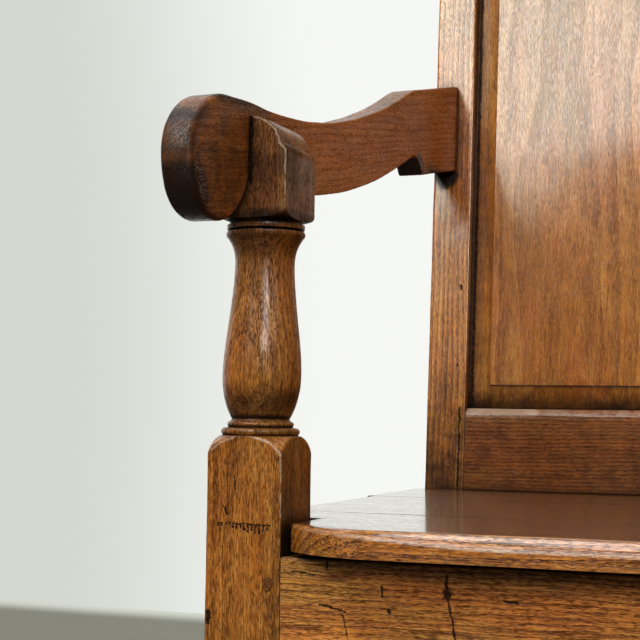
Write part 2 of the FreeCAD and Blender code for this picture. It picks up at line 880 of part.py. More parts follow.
# Pegs of the back frame, in the upright frame before it leans back
stile_peg_x = -frame_half - stile_peg_share * frame_tenon_length
rail_peg_heights = [share * bottom_rail_height for share in bottom_rail_peg_shares]
rail_peg_heights += [opening_top + share * top_rail_height for share in top_rail_peg_shares]
rail_pegs = [(ALONG_Y, stile_peg_x, 0, z, peg_length) + small for z in rail_peg_heights]
muntin_peg_heights = (
    opening_bottom - muntin_peg_share * muntin_tenon_length, opening_top + muntin_peg_share * muntin_tenon_length
)
muntin_pegs = [
    (ALONG_Y, muntin_left(index) + muntin_width / 2 + side * muntin_tenon_width / 4, 0, z, small_peg_length) + small
    for index in range(panel_count - 1)
    for side in (-1, 1)
    for z in muntin_peg_heights
]


def leaned_at_left(shape):
    return leaned(shape).translated(Vector(bench_length / 2, 0, 0))


def both_ends(shapes):
    return [at_left(shape) for shape in shapes] + [at_right(shape) for shape in shapes]


def back_frame_place(shape):
    return placed(leaned(shape))


def cut_at_both_ends(shape, specs):
    return shape.cut(both_ends(holes(specs)))


def group(solids):
    return Part.makeCompound(solids)


# Front posts with their mortises
post_cuts = [
    grown(front_tenon, joint_gap),
    grown(side_front_tenon, joint_gap),
    grown(front_stretcher_tenon, joint_gap),
    grown(side_stretcher_tenon, joint_gap),
]
post_pegs = (
    front_rail_pegs + side_rail_front_pegs + front_stretcher_pegs + side_stretcher_front_pegs + arm_lap_pegs
)
post = front_post().cut(post_cuts + holes(post_pegs))
export("front_post_left", at_left(post))
export("front_post_right", at_right(post))

# Arms
arm = joined(arm_plank(), [box(*arm_tenon)])
arm = arm.cut(holes(arm_lap_pegs + arm_tenon_pegs))
export("arm_left", at_left(arm))
export("arm_right", at_right(arm))

# Back posts with their mortises and the groove for the outer panel
leg_cuts = [
    grown(side_back_tenon, joint_gap),
    grown(back_seat_tenon, joint_gap),
    grown(side_stretcher_back_tenon, joint_gap),
    grown(back_stretcher_tenon, joint_gap),
    grown(arm_tenon, joint_gap),
    leaned_at_left(grown(bottom_tenon, joint_gap)),
    leaned_at_left(grown(top_tenon, joint_gap)),
    leaned_at_left(grooves[0]),
]
leg_pegs = (
    side_rail_back_pegs + back_seat_rail_pegs + side_stretcher_back_pegs + back_stretcher_pegs + arm_tenon_pegs
)
leg_holes = holes(leg_pegs) + [leaned_at_left(hole) for hole in holes(rail_pegs)]
leg = back_post().cut(leg_cuts + leg_holes)
export("back_post_left", at_left(leg))
export("back_post_right", at_right(leg))

# Back frame
rail_holes = holes(rail_pegs)
rail_holes += [mirrored(hole) for hole in rail_holes]
frame_holes = rail_holes + holes(muntin_pegs)
below_seat = placed(box(-frame_half, frame_half, 0, 2 * seat_depth, 0, seat_height))
low_rail = back_frame_place(bottom_rail().cut(frame_holes)).cut(below_seat)
export("back_rail_bottom", low_rail)
export("back_rail_top", back_frame_place(top_rail().cut(frame_holes)))
for index in range(panel_count - 1):
    export("back_muntin_" + str(index + 1), back_frame_place(muntin(index).cut(frame_holes)))
for index in range(panel_count):
    export("back_panel_" + str(index + 1), back_frame_place(panel(index)))

# Seat boards
export("seat_board_front", placed(front_board()))
export("seat_board_middle", placed(middle_board()))
export("seat_board_back", placed(back_board()))

# Seat frame
front_rail = long_rail(post_size, 0, front_rail_thickness, front_rail_bottom, front_rail_top, front_tenon)
export("seat_rail_front", cut_at_both_ends(front_rail, front_rail_pegs).cut(bearer_mortises))
back_seat_rail = long_rail(stile_in, bearer_back, bearer_back + back_seat_rail_thickness, back_seat_rail_bottom,
                           seat_under, back_seat_tenon)
export("seat_rail_back", cut_at_both_ends(back_seat_rail, back_seat_rail_pegs).cut(bearer_mortises))
side = side_rail(side_rail_inset, side_rail_inset + side_rail_thickness, side_rail_bottom, seat_under,
                 side_front_tenon, side_back_tenon)
side = side.cut(holes(side_rail_front_pegs + side_rail_back_pegs))
export("seat_rail_left", at_left(side))
export("seat_rail_right", at_right(side))
for index, place in enumerate(bearer_places):
    export("seat_bearer_" + str(index + 1), bearer(place))

# Stretchers
front_stretcher = long_rail(post_size, stretcher_side, stretcher_side + stretcher_thickness, stretcher_bottom,
                            stretcher_top, front_stretcher_tenon)
export("stretcher_front", cut_at_both_ends(front_stretcher, front_stretcher_pegs))
back_stretcher = long_rail(stile_in, back_stretcher_y, back_stretcher_y + stretcher_thickness, stretcher_bottom,
                           stretcher_top, back_stretcher_tenon)
export("stretcher_back", cut_at_both_ends(back_stretcher, back_stretcher_pegs))
side_stretcher = side_rail(stretcher_side, stretcher_side + stretcher_thickness, stretcher_bottom, stretcher_top,
                           side_stretcher_tenon, side_stretcher_back_tenon)
side_stretcher = side_stretcher.cut(holes(side_stretcher_front_pegs + side_stretcher_back_pegs))
export("stretcher_left", at_left(side_stretcher))
export("stretcher_right", at_right(side_stretcher))

# Pegs, one group for each kind of joint
seat_pegs = front_rail_pegs + side_rail_front_pegs + side_rail_back_pegs + back_seat_rail_pegs
stretcher_pegs = (
    front_stretcher_pegs + side_stretcher_front_pegs + side_stretcher_back_pegs + back_stretcher_pegs
)
export("pegs_seat_frame", group(both_ends(pegs(seat_pegs))))
export("pegs_stretchers", group(both_ends(pegs(stretcher_pegs))))
export("pegs_arms", group(both_ends(pegs(arm_lap_pegs + arm_tenon_pegs))))
stile_pegs = pegs(rail_pegs)
stile_pegs += [mirrored(solid) for solid in stile_pegs]
export("pegs_back_frame", group([back_frame_place(solid) for solid in stile_pegs + pegs(muntin_pegs)]))
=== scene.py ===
import math

import bmesh
import bpy
from mathutils import Matrix, Quaternion, Vector, geometry, noise


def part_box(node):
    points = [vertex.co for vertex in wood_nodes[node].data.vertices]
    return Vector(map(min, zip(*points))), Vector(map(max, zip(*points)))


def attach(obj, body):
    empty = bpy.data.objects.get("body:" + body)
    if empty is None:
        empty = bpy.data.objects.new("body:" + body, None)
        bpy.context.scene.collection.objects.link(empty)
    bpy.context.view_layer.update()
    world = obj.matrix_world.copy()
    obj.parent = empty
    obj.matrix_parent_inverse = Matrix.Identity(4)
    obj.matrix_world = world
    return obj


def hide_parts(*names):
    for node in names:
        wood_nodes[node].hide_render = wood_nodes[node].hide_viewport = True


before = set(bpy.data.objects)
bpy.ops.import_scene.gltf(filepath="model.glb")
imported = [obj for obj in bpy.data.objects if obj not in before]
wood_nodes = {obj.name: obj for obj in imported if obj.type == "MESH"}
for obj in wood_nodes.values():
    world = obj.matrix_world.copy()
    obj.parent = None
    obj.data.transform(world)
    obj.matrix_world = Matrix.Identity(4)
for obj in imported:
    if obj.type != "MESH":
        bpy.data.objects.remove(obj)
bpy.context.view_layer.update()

MM = 0.001

# Places taken from the drawing, in millimetres
half_length = 750.0
front_plane = -237.427
seat_top = 440.0
seat_depth = 481.5
rake = math.radians(4.0)
post_size = 54.0
stile_out = 5.0
stile_width = 38.0
stile_depth = 40.0
frame_half = half_length - stile_out - stile_width
back_face = front_plane + seat_depth


# Working on a piece of timber
def at(x, y, z):
    """A place or a length in metres, given in millimetres."""
    return Vector((x, y, z)) * MM


def share_of(value, whole):
    """How much of the whole a value makes up, from 0 to 1."""
    return min(1.0, max(0.0, value / whole))


back_foot = at(0, back_face, seat_top)


def timber(low, high):
    """A squared piece between two corners, in metres."""
    bm = bmesh.new()
    size = Vector(high) - Vector(low)
    bmesh.ops.create_cube(bm, size=1.0)
    bmesh.ops.scale(bm, vec=size, verts=bm.verts)
    bmesh.ops.translate(bm, vec=(Vector(high) + Vector(low)) / 2, verts=bm.verts)
    return bm


def along_axis(axis):
    """One metre along an axis."""
    return Vector([float(index == axis) for index in range(3)])


def node_timber(name, axis, trim_low, trim_high):
    """The body of a straight piece, without the tenons at its ends."""
    low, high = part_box(name)
    return timber(low + along_axis(axis) * trim_low * MM, high - along_axis(axis) * trim_high * MM)


def outline_timber(points, thickness):
    """An outline sawn from a plank; the points are in metres and thickness is a vector."""
    bm = bmesh.new()
    face = bm.faces.new([bm.verts.new(point) for point in points])
    pushed = bmesh.ops.extrude_face_region(bm, geom=[face])
    moved = [item for item in pushed["geom"] if isinstance(item, bmesh.types.BMVert)]
    bmesh.ops.translate(bm, vec=thickness, verts=moved)
    bmesh.ops.recalc_face_normals(bm, faces=bm.faces)
    return bm


def sawn_copy(name):
    """A copy of a solid's mesh, with its loose triangles merged and its flats made whole."""
    bm = bmesh.new()
    bm.from_mesh(wood_nodes[name].data)
    bmesh.ops.remove_doubles(bm, verts=bm.verts, dist=0.00001)
    bmesh.ops.dissolve_limit(bm, angle_limit=math.radians(0.6), verts=bm.verts, edges=bm.edges)
    return bm


def mark_layer(bm, name):
    """A value at each corner of a piece, which its finish reads: one layer is how worn it is, another how
    far grime and painted shade darken it.
    """
    layers = bm.verts.layers.float
    return layers.get(name) or layers.new(name)


def soil_and_shade(bm, place, radius, amount):
    """Darkens the wood round a place: handling grime in some places, painted shade in others."""
    layer = mark_layer(bm, "soiled_and_shaded")
    reach = Vector(radius) * MM
    for vert in bm.verts:
        away = vert.co - Vector(place) * MM
        spread = math.sqrt(sum((away[axis] / reach[axis]) ** 2 for axis in range(3)))
        if spread < 1:
            vert[layer] = max(vert[layer], amount * (1 - spread ** 2) ** 1.5)


def ease(bm, width, steps=3, sharper=30.0, only=None):
    """Rounds the arrises, marks the middle of each as worn, which the finish paints paler as wear and
    painted sheen, and gives back their corners.
    """
    layer = mark_layer(bm, "worn_and_sheen")
    limit = math.radians(sharper)
    arrises = [
        edge for edge in bm.edges
        if len(edge.link_faces) == 2 and edge.calc_face_angle() > limit and (only is None or only(edge))
    ]
    made = bmesh.ops.bevel(
        bm, geom=arrises, offset=width * MM, offset_type="OFFSET", affect="EDGES", segments=steps,
        profile=0.5, clamp_overlap=True, loop_slide=True, material=-1,
    )
    rounded = set(made["faces"])
    corners = {vert for face in rounded for vert in face.verts}
    for vert in corners:
        vert[layer] = 1.0 if all(face in rounded for face in vert.link_faces) else 0.0
    return corners


edge_hold = 2.2


def cut_across(bm, axis, pitch, start=None, end=None):
    """Adds lines across a piece, so that its flats can be worked while they stay flat at their edges."""
    low = min(vert.co[axis] for vert in bm.verts) if start is None else start
    high = max(vert.co[axis] for vert in bm.verts) if end is None else end
    normal = along_axis(axis)
    count = max(1, round((high - low) / (pitch * MM)))
    places = [low + (high - low) * index / count for index in range(1, count)]
    if start is None:
        places += [low + edge_hold * MM, high - edge_hold * MM]
    for place in places:
        geom = bm.verts[:] + bm.edges[:] + bm.faces[:]
        bmesh.ops.bisect_plane(bm, geom=geom, dist=0.000002, plane_co=normal * place, plane_no=normal)


def hand_work(bm, depth, reach, seed):
    """Moves the surface in and out a little, as planes, scrapers and many hands leave it."""
    bm.normal_update()
    layer = mark_layer(bm, "worn_and_sheen")
    shift = Vector((seed * 3.1, seed * 1.7, seed * 2.3))
    for vert in bm.verts:
        slow = noise.noise(vert.co / (reach * MM) + shift)
        quick = noise.noise(vert.co / (0.27 * reach * MM) - shift)
        push = slow + 0.35 * quick - 0.5 * vert[layer] * abs(quick)
        vert.co += vert.normal * push * depth * MM


def lean_back(bm):
    """Tilts what was made upright, with its front at the seat's back edge, to the back's rake."""
    bmesh.ops.rotate(bm, cent=back_foot, matrix=Matrix.Rotation(-rake, 3, "X"), verts=bm.verts)


def new_object(name, data):
    """An object of the scene that shows this data."""
    made = bpy.data.objects.new(name, data)
    bpy.context.scene.collection.objects.link(made)
    return made


def keep(bm, name, nodes, finish, smooth_angle=32.0):
    """Turns the worked piece into an object that stands for its solids, with nothing below the floor."""
    limit = math.radians(smooth_angle)
    bmesh.ops.remove_doubles(bm, verts=bm.verts, dist=0.000004)
    for face in bm.faces:
        face.smooth = True
    for edge in bm.edges:
        edge.smooth = len(edge.link_faces) == 2 and edge.calc_face_angle() < limit
    for vert in bm.verts:
        vert.co.z = max(vert.co.z, 0.0)
    mark_layer(bm, "worn_and_sheen")
    mark_layer(bm, "soiled_and_shaded")
    mesh = bpy.data.meshes.new(name)
    bm.to_mesh(mesh)
    bm.free()
    mesh.materials.clear()
    mesh.materials.append(finish)
    piece = new_object(name, mesh)
    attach(piece, "root")
    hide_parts(*nodes)


def mirror_ends(bm):
    """The same piece for the other end of the bench."""
    other = bm.copy()
    bmesh.ops.scale(other, vec=(-1, 1, 1), verts=other.verts)
    bmesh.ops.reverse_faces(other, faces=other.faces)
    return other


# Finishes: old oak, waxed and handled, built up from rings, fibre, pores, dirt and wear, with painted shade
# and painted highlights
grain_turn = {"X": (0, -math.pi / 2, 0), "Y": (math.pi / 2, 0, 0), "Z": (0, 0, 0)}


def fresh_tree(owner):
    """The empty node tree of a material or a world."""
    owner.use_nodes = True
    owner.node_tree.nodes.clear()
    return owner.node_tree


def add(tree, kind, settings=None, **inputs):
    """Adds a shader node; an input's name is written with underscores for its spaces."""
    made = tree.nodes.new("ShaderNode" + kind)
    for key, value in (settings or {}).items():
        setattr(made, key, value)
    for key, value in inputs.items():
        give(tree, made.inputs[key.replace("_", " ")], value)
    return made


def give(tree, socket, value):
    """Links a socket to another node's output, or sets it to a constant."""
    if isinstance(value, bpy.types.NodeSocket):
        tree.links.new(value, socket)
    else:
        socket.default_value = value


def calc(tree, operation, *values):
    """One step of arithmetic on numbers."""
    made = tree.nodes.new("ShaderNodeMath")
    made.operation = operation
    for socket, value in zip(made.inputs, values):
        give(tree, socket, value)
    return made.outputs[0]


def times(tree, a, b):
    """a times b."""
    return calc(tree, "MULTIPLY", a, b)


def fused(tree, a, b, c):
    """a times b, plus c."""
    return calc(tree, "MULTIPLY_ADD", a, b, c)


def vector_node(tree, operation, *values, scale=None):
    """The node for one step of arithmetic on vectors."""
    made = tree.nodes.new("ShaderNodeVectorMath")
    made.operation = operation
    for socket, value in zip(made.inputs, values):
        give(tree, socket, value)
    if scale is not None:
        give(tree, made.inputs["Scale"], scale)
    return made


def vector_calc(tree, operation, *values, scale=None):
    """A vector worked out from others."""
    return vector_node(tree, operation, *values, scale=scale).outputs["Vector"]


def number_of(tree, operation, *values):
    """A number worked out from two vectors."""
    return vector_node(tree, operation, *values).outputs["Value"]


def stretched(tree, vector, along):
    """A place drawn out along the grain."""
    return vector_calc(tree, "MULTIPLY", vector, (1, 1, along))


def mottle(tree, vector, scale, detail, roughness=0.5):
    """A noise's level at a place."""
    made = add(tree, "TexNoise", Vector=vector, Scale=scale, Detail=detail, Roughness=roughness)
    return made.outputs["Fac"]


def swayed(tree, place, where, scale, roughness, reach):
    """A place pushed about by the noise at another."""
    push = add(tree, "TexNoise", Vector=where, Scale=scale, Detail=3.0, Roughness=roughness).outputs["Color"]
    either_way = vector_calc(tree, "SUBTRACT", push, (0.5, 0.5, 0.5))
    return vector_calc(tree, "ADD", place, vector_calc(tree, "MULTIPLY", either_way, reach))


def stepped(tree, value, low, high, to_low=0.0, to_high=1.0):
    """A value that goes softly from one level to another between low and high."""
    made = add(tree, "MapRange", {"interpolation_type": "SMOOTHSTEP"}, Value=value)
    for name, number in (("From Min", low), ("From Max", high), ("To Min", to_low), ("To Max", to_high)):
        made.inputs[name].default_value = number
    return made.outputs["Result"]


def blended(tree, share, first, second):
    """One colour that goes over into another as the share rises."""
    made = tree.nodes.new("ShaderNodeMix")
    made.data_type = "RGBA"
    for index, value in ((0, share), (6, first), (7, second)):
        give(tree, made.inputs[index], value)
    return made.outputs[2]


def laid_over(tree, wood, mask, strength, tone):
    """The wood's colour, with another laid over it where the mask is high."""
    return blended(tree, times(tree, mask, strength), wood, tone)


def colour(r, g, b):
    """An opaque colour."""
    return (r, g, b, 1.0)


def toned(rgb, shade=1.0):
    """A colour made paler or darker."""
    return colour(*(shade * channel for channel in rgb))


def scar(tree, place, start, end, width, ragged):
    """How near a point is to a line that runs from start to end, in millimetres; scratches, cracks, pits,
    painted shadow lines and painted glints all use it.
    """
    run = (Vector(end) - Vector(start)) * MM
    offset = vector_calc(tree, "SUBTRACT", place, Vector(start) * MM)
    along = number_of(tree, "DOT_PRODUCT", offset, run / max(run.length_squared, 1e-12))
    share = calc(tree, "MINIMUM", calc(tree, "MAXIMUM", along, 0.0), 1.0)
    gap = number_of(tree, "DISTANCE", offset, vector_calc(tree, "SCALE", run, scale=share))
    reach = fused(tree, ragged, width * MM, gap)
    return stepped(tree, reach, 0.45 * width * MM, 1.1 * width * MM, 1.0, 0.0)


# Colours of the wood, each dark, middle and pale, and of what is laid over it: pores, soot with painted
# shade, grime with painted shade, bare wear with painted sheen, and painted glints
tones = {
    "warm": ((0.130, 0.034, 0.0045), (0.330, 0.104, 0.0110), (0.520, 0.205, 0.0350)),
    "russet": ((0.105, 0.024, 0.0038), (0.280, 0.077, 0.0090), (0.430, 0.145, 0.0260)),
    "red": ((0.085, 0.019, 0.0035), (0.220, 0.058, 0.0085), (0.370, 0.125, 0.0230)),
}
ink = (0.0220, 0.0070, 0.0018)
soot_and_shade = (0.0055, 0.0030, 0.0017)
handled_and_shade = (0.0130, 0.0042, 0.0018)
rubbed_bare = (0.36, 0.20, 0.12)
glint_tone = (0.42, 0.29, 0.20)


def centred(tree, value):
    """A noise's level, moved so that its middle is nought."""
    return calc(tree, "SUBTRACT", value, 0.5)


def old_oak(name, grain, pith=(0.11, 0.05), tone="warm", shade=1.0, contrast=1.0, figure=0.0035, bands=0.3,
            pores=0.55, veins=0.35, hue_drift=0.5, tilt=0.0, polish=0.3, gloss=0.45, coat=0.12,
            coat_polish=0.14, rub=0.6, grease=(-0.2, 0.0, -0.8), scars=(), glints=()):
    """An oak finish, built up on the piece's own place.

    grain is the way the fibres run, pith the tree's heart across them in metres, and tilt a lean of the
    fibres. tone, shade, contrast and hue_drift set the colour; figure is the rings' pitch in metres, and
    bands, pores and veins are how dark rings, pores and rays are. polish and gloss are the roughness and
    the shine of the wood, coat and coat_polish those of the wax, and rub is how pale worn
    arrises are painted, as bare wood and as painted sheen. grease is what grime and painted shade add to
    the shine, the roughness and the wax. scars are dark marks, among them painted shadow
    lines in joints, and glints are painted highlights, each with a start, an end and a width in
    millimetres.
    """
    material = bpy.data.materials.new(name)
    tree = fresh_tree(material)
    place = add(tree, "TexCoord").outputs["Object"]
    turn = Vector(grain_turn[grain])
    turn.x += tilt
    heart = add(
        tree, "Mapping", Vector=place, Rotation=turn, Location=(pith[0], pith[1], 0.37 * pith[0])
    ).outputs[0]

    # Rings, fibres and pores
    trunk = swayed(tree, heart, stretched(tree, heart, 0.25), 9.0, 0.5, (0.022, 0.022, 0.0))
    rings = add(
        tree, "TexWave", {"wave_type": "RINGS", "rings_direction": "Z", "wave_profile": "SAW"},
        Vector=stretched(tree, trunk, 0.08), Scale=0.314 / figure, Distortion=1.2, Detail=3.0,
        Detail_Scale=0.7, Detail_Roughness=0.6,
    ).outputs["Fac"]
    hair, fibre, strand, vessel, cluster = [
        mottle(tree, stretched(tree, trunk, along), scale, detail, roughness)
        for along, scale, detail, roughness in (
            (0.12, 1500.0, 2.0, 0.6), (0.08, 620.0, 3.0, 0.6), (0.08, 170.0, 3.0, 0.6),
            (0.14, 1450.0, 2.0, 0.6), (0.09, 190.0, 3.0, 0.5),
        )
    ]
    cloud = mottle(tree, stretched(tree, heart, 0.4), 22.0, 4.0, 0.6)
    grime = mottle(tree, place, 60.0, 5.0, 0.65)

    early = stepped(tree, rings, 0.25, 0.9)
    crowd = fused(tree, early, 0.07, times(tree, cluster, 0.26))
    lifted = calc(tree, "SUBTRACT", vessel, crowd)
    pore = stepped(tree, lifted, 0.24, 0.37, 1.0, 0.0)

    # The wood's colour, with its rays and its drift of hue
    level = fused(tree, rings, -bands, 0.5 + 0.5 * bands)
    for noise_layer, weight in ((hair, 1.3), (fibre, 1.0), (strand, 0.7), (cloud, 0.8)):
        level = fused(tree, centred(tree, noise_layer), weight * contrast, level)

    low_tone, mid_tone, high_tone = tones[tone]
    ramp = add(tree, "ValToRGB", Fac=level)
    stops = ramp.color_ramp.elements
    stops[0].position, stops[1].position = 0.14, 0.88
    stops.new(0.5)
    for stop, rgb in zip(stops, (low_tone, mid_tone, high_tone)):
        stop.color = toned(rgb, shade)
    wood = laid_over(tree, ramp.outputs["Color"], pore, pores, toned(ink, shade))

    wave = mottle(tree, stretched(tree, trunk, 0.07), 130.0, 2.0, 0.55)
    ridge = calc(tree, "ABSOLUTE", centred(tree, wave))
    in_patches = stepped(tree, cloud, 0.4, 0.6)
    vein = times(tree, stepped(tree, ridge, 0.0, 0.03, 1.0, 0.0), in_patches)
    wood = laid_over(tree, wood, vein, veins, toned(low_tone, 0.7 * shade))

    patch = mottle(tree, stretched(tree, heart, 0.16), 42.0, 4.0, 0.65)
    redder = colour(*(1 + hue_drift * c for c in (0.12, -0.09, -0.24)))
    yellower = colour(*(1 + hue_drift * c for c in (-0.09, 0.08, 0.22)))
    drifted = blended(tree, stepped(tree, patch, 0.35, 0.65), redder, yellower)
    wood = vector_calc(tree, "MULTIPLY", wood, drifted)

    # Bare arrises paled by wear and painted sheen, soil and handling grime with painted shade, and dirt with
    # painted shade in the corners
    worn_and_sheen = add(tree, "Attribute", {"attribute_name": "worn_and_sheen"}).outputs["Fac"]
    here_and_there = stepped(tree, grime, 0.4, 0.62)
    rubbed = times(tree, calc(tree, "POWER", worn_and_sheen, 3.0), here_and_there)
    wood = laid_over(tree, wood, rubbed, rub, toned(rubbed_bare))

    # Handling grime, and painted shade where the marks stand for shadow, darken the wood to a near-black
    # brown
    soiled_and_shaded = add(tree, "Attribute", {"attribute_name": "soiled_and_shaded"}).outputs["Fac"]
    uneven = centred(tree, grime)
    uneven_soil_and_shade = fused(tree, uneven, 0.9, soiled_and_shaded)
    smeared_and_shaded = times(tree, stepped(tree, uneven_soil_and_shade, 0.0, 1.0), stepped(tree, soiled_and_shaded, 0.0, 0.12))
    wood = blended(tree, smeared_and_shaded, wood, toned(handled_and_shade))

    # Darker in corners and between parts, where other surfaces come near: dirt, and painted shade
    corner = add(tree, "AmbientOcclusion", {"samples": 6}, Distance=0.016).outputs["AO"]
    dirt_and_shade = stepped(tree, fused(tree, grime, 0.25, corner), 0.5, 1.02, 1.0, 0.0)
    wood = laid_over(tree, wood, dirt_and_shade, 0.94, toned(soot_and_shade))

    # Scars, painted shadow lines and painted glints, each a little ragged
    covered = dirt_and_shade
    if scars or glints:
        marked = swayed(tree, place, place, 210.0, 0.7, (0.004, 0.004, 0.003))
        ragged = centred(tree, mottle(tree, place, 650.0, 2.0))
    scarred_and_shadowed = 0.0
    for start, end, width in scars:
        scarred_and_shadowed = calc(tree, "MAXIMUM", scar(tree, marked, start, end, width, ragged), scarred_and_shadowed)
    if scars:
        wood = laid_over(tree, wood, scarred_and_shadowed, 0.92, toned(soot_and_shade))
        covered = calc(tree, "MAXIMUM", dirt_and_shade, scarred_and_shadowed)
    for start, end, width in glints:
        near = scar(tree, marked, start, end, width, ragged)
        wood = laid_over(tree, wood, near, 0.5, toned(glint_tone))

    # Roughness, shine and wax
    rough = fused(tree, uneven, 0.2, polish)
    rough = fused(tree, pore, 0.18, rough)
    rough = fused(tree, dirt_and_shade, 0.15, rough)
    rough = fused(tree, worn_and_sheen, 0.12, rough)
    more_shine, more_roughness, more_wax = grease
    rough = calc(tree, "MAXIMUM", fused(tree, smeared_and_shaded, more_roughness, rough), 0.08)
    shine = fused(tree, calc(tree, "MAXIMUM", pore, covered), -0.9 * gloss, gloss)
    shine = calc(tree, "MAXIMUM", fused(tree, smeared_and_shaded, more_shine, shine), 0.05)
    unwaxed = calc(tree, "MAXIMUM", covered, times(tree, worn_and_sheen, 0.6))
    unwaxed = calc(tree, "MAXIMUM", unwaxed, times(tree, smeared_and_shaded, -more_wax))
    waxed = fused(tree, unwaxed, -coat, coat)

    # Relief
    relief = fused(tree, pore, -1.0, times(tree, hair, 0.5))
    relief = fused(tree, rings, -0.25, relief)
    if scars:
        relief = fused(tree, scarred_and_shadowed, -2.0, relief)
    fine = add(tree, "Bump", Height=relief, Strength=0.5 * contrast, Distance=0.0004).outputs["Normal"]
    swell = mottle(tree, stretched(tree, heart, 0.35), 70.0, 2.0)
    broad = add(tree, "Bump", Height=swell, Strength=0.3, Distance=0.0008, Normal=fine)
    shader = add(
        tree, "BsdfPrincipled", Base_Color=wood, Roughness=rough, Normal=broad.outputs["Normal"], IOR=1.45,
        Specular_IOR_Level=shine, Coat_Weight=waxed, Coat_Roughness=coat_polish,
    )
    add(tree, "OutputMaterial", Surface=shader.outputs["BSDF"])
    return material


# Turned posts, drawn in the post's own frame: radius and height in millimetres
def bowed(a, b, c, d, steps):
    """Points on a curve from a to d that b and c pull on."""
    points = geometry.interpolate_bezier(
        Vector((*a, 0)), Vector((*b, 0)), Vector((*c, 0)), Vector((*d, 0)), steps + 1
    )
    return [(point.x, point.y) for point in points]


def bulged(a, b, bulge, steps):
    """Points on a shallow curve from a to b, bowed out by bulge."""
    start, end = Vector(a), Vector(b)
    run = end - start
    out = Vector((run.y, -run.x)).normalized() * bulge * 4 / 3
    return bowed(start, start + run / 3 + out, end - run / 3 + out, end, steps)


corner_reach = post_size / math.sqrt(2) + 0.6
ring = 27.0
shoulder = 15.0
shoulder_steps = 34


def rising_shoulder(crest):
    """The turned shoulder where a block goes over into a turning above it."""
    return bulged((corner_reach, crest - shoulder), (ring, crest), 2.1, shoulder_steps)


def falling_shoulder(crest):
    """The same where a block stands on a turning."""
    return bulged((ring, crest), (corner_reach, crest + shoulder), 2.1, shoulder_steps)


def vase(bottom, top, undercut=False):
    """A baluster between two blocks: two beads, neck, belly, waist, flare and a grooved collar."""
    neck = bottom + 11.2
    belly = neck + 30.0
    flare = top - 26.6
    collar = top - 9.0
    sweep = flare - belly
    points = rising_shoulder(bottom)[:-1] + [(26.6, bottom - 0.2), (25.8, bottom + 0.2)]
    points += bulged((25.9, bottom + 0.4), (25.6, bottom + 4.9), 1.15, 9)
    points += [(24.2, bottom + 5.2), (22.6, bottom + 5.4), (22.1, bottom + 5.8)]
    points += bulged((22.2, bottom + 6.0), (21.4, bottom + 9.5), 1.0, 8)
    points += [(20.3, bottom + 10.1)]
    points += bowed((19.8, neck), (22.6, neck + 5.1), (27.0, neck + 14.1), (27.0, belly), 16)[:-1]
    points += bowed((27.0, belly), (27.0, belly + 0.29 * sweep), (20.5, belly + 0.68 * sweep), (20.5, flare),
                    26)[:-1]
    points += bowed((20.5, flare), (20.5, flare + 8.5), (23.4, flare + 13.5), (26.2, collar - 0.2), 14)
    points += bulged((26.6, collar + 0.2), (26.9, collar + 3.4), 0.35, 5)
    points += [(26.5, collar + 3.8), (24.6, collar + 4.0), (23.6, collar + 4.5), (24.4, collar + 5.0)]
    points += bulged((26.5, collar + 5.3), (26.6, top - 0.5), 0.15, 5)
    if undercut:
        return points + [(25.6, top - 0.05)]
    return points + falling_shoulder(top)


def foot(top):
    """A turned foot: a pad, a swelling and a flare up to the block."""
    points = [(0.0, 0.0), (16.0, 0.0), (17.4, 0.6)]
    points += bowed((18.2, 1.8), (25.0, 0.13 * top), (25.0, 0.27 * top), (25.0, 0.4 * top), 10)
    points += bowed((25.0, 0.4 * top), (25.0, 0.62 * top), (18.0, 0.66 * top), (18.0, 0.82 * top), 10)[1:]
    points += bulged((18.6, 0.83 * top), (26.6, top - 2.9), -0.8, 6)
    points += [(27.0, top - 2.5), (27.0, top - 0.3)]
    return points + falling_shoulder(top)


def block(bottom, top):
    """A run of square block, with a line every few millimetres."""
    steps = max(2, round((top - bottom) / 9.0))
    return [(corner_reach, bottom + (top - bottom) * index / steps) for index in range(1, steps)]


foot_top = 70.0
lower_turning = 156.0
lower_turning_top = 300.0
upper_turning = 497.0
turning_lean = 1.7
set_in_from = seat_top + 201.5
arm_rest = seat_top + 229.0
cheek_height = seat_top + 272.8
cheek_inner = 27.5
ovolo_end = 49.0
ovolo_drop = 19.2
edge_start = 51.2
edge_drop = 7.3
block_arris = 0.35
turned_arris = 0.45


def soft_least(a, b, softness):
    """The lesser of two lengths, with a rounded change from one to the other."""
    return min(a, b) - softness * math.log(1 + math.exp(-abs(a - b) / softness))


def cheek_line(x):
    """The height of the post's top across its width: an ovolo, a small flat and a rounded edge."""
    if x <= cheek_inner:
        return cheek_height
    if x <= ovolo_end:
        share = (x - cheek_inner) / (ovolo_end - cheek_inner)
        return cheek_height - ovolo_drop * (1 - math.sqrt(max(0.0, 1 - share ** 2.1)))
    share = share_of(x - edge_start, post_size - edge_start)
    return cheek_height - ovolo_drop - edge_drop * (1 - math.sqrt(1 - share ** 2))


def gathered(angle):
    """Brings the lines round the turning closer together at the block's corners."""
    quarter = math.pi / 2
    side = round(angle / quarter)
    share = (angle - side * quarter) / (quarter / 2)
    return side * quarter + math.atan(math.sin(share * quarter))


def block_reach(radius, angle):
    """How far the post reaches at an angle, where a turned radius meets the square block."""
    half = post_size / 2
    across = max(abs(math.cos(angle)), 0.001)
    along = max(abs(math.sin(angle)), 0.001)
    square = soft_least(half / across, half / along, block_arris)
    if radius < square - 3:
        return radius
    if radius > corner_reach - 0.01:
        return soft_least(radius + 1.5, square, turned_arris)
    swell = turned_arris * math.log(2) * math.exp(-abs(radius - square) / 2)
    return soft_least(radius, square, turned_arris) + swell


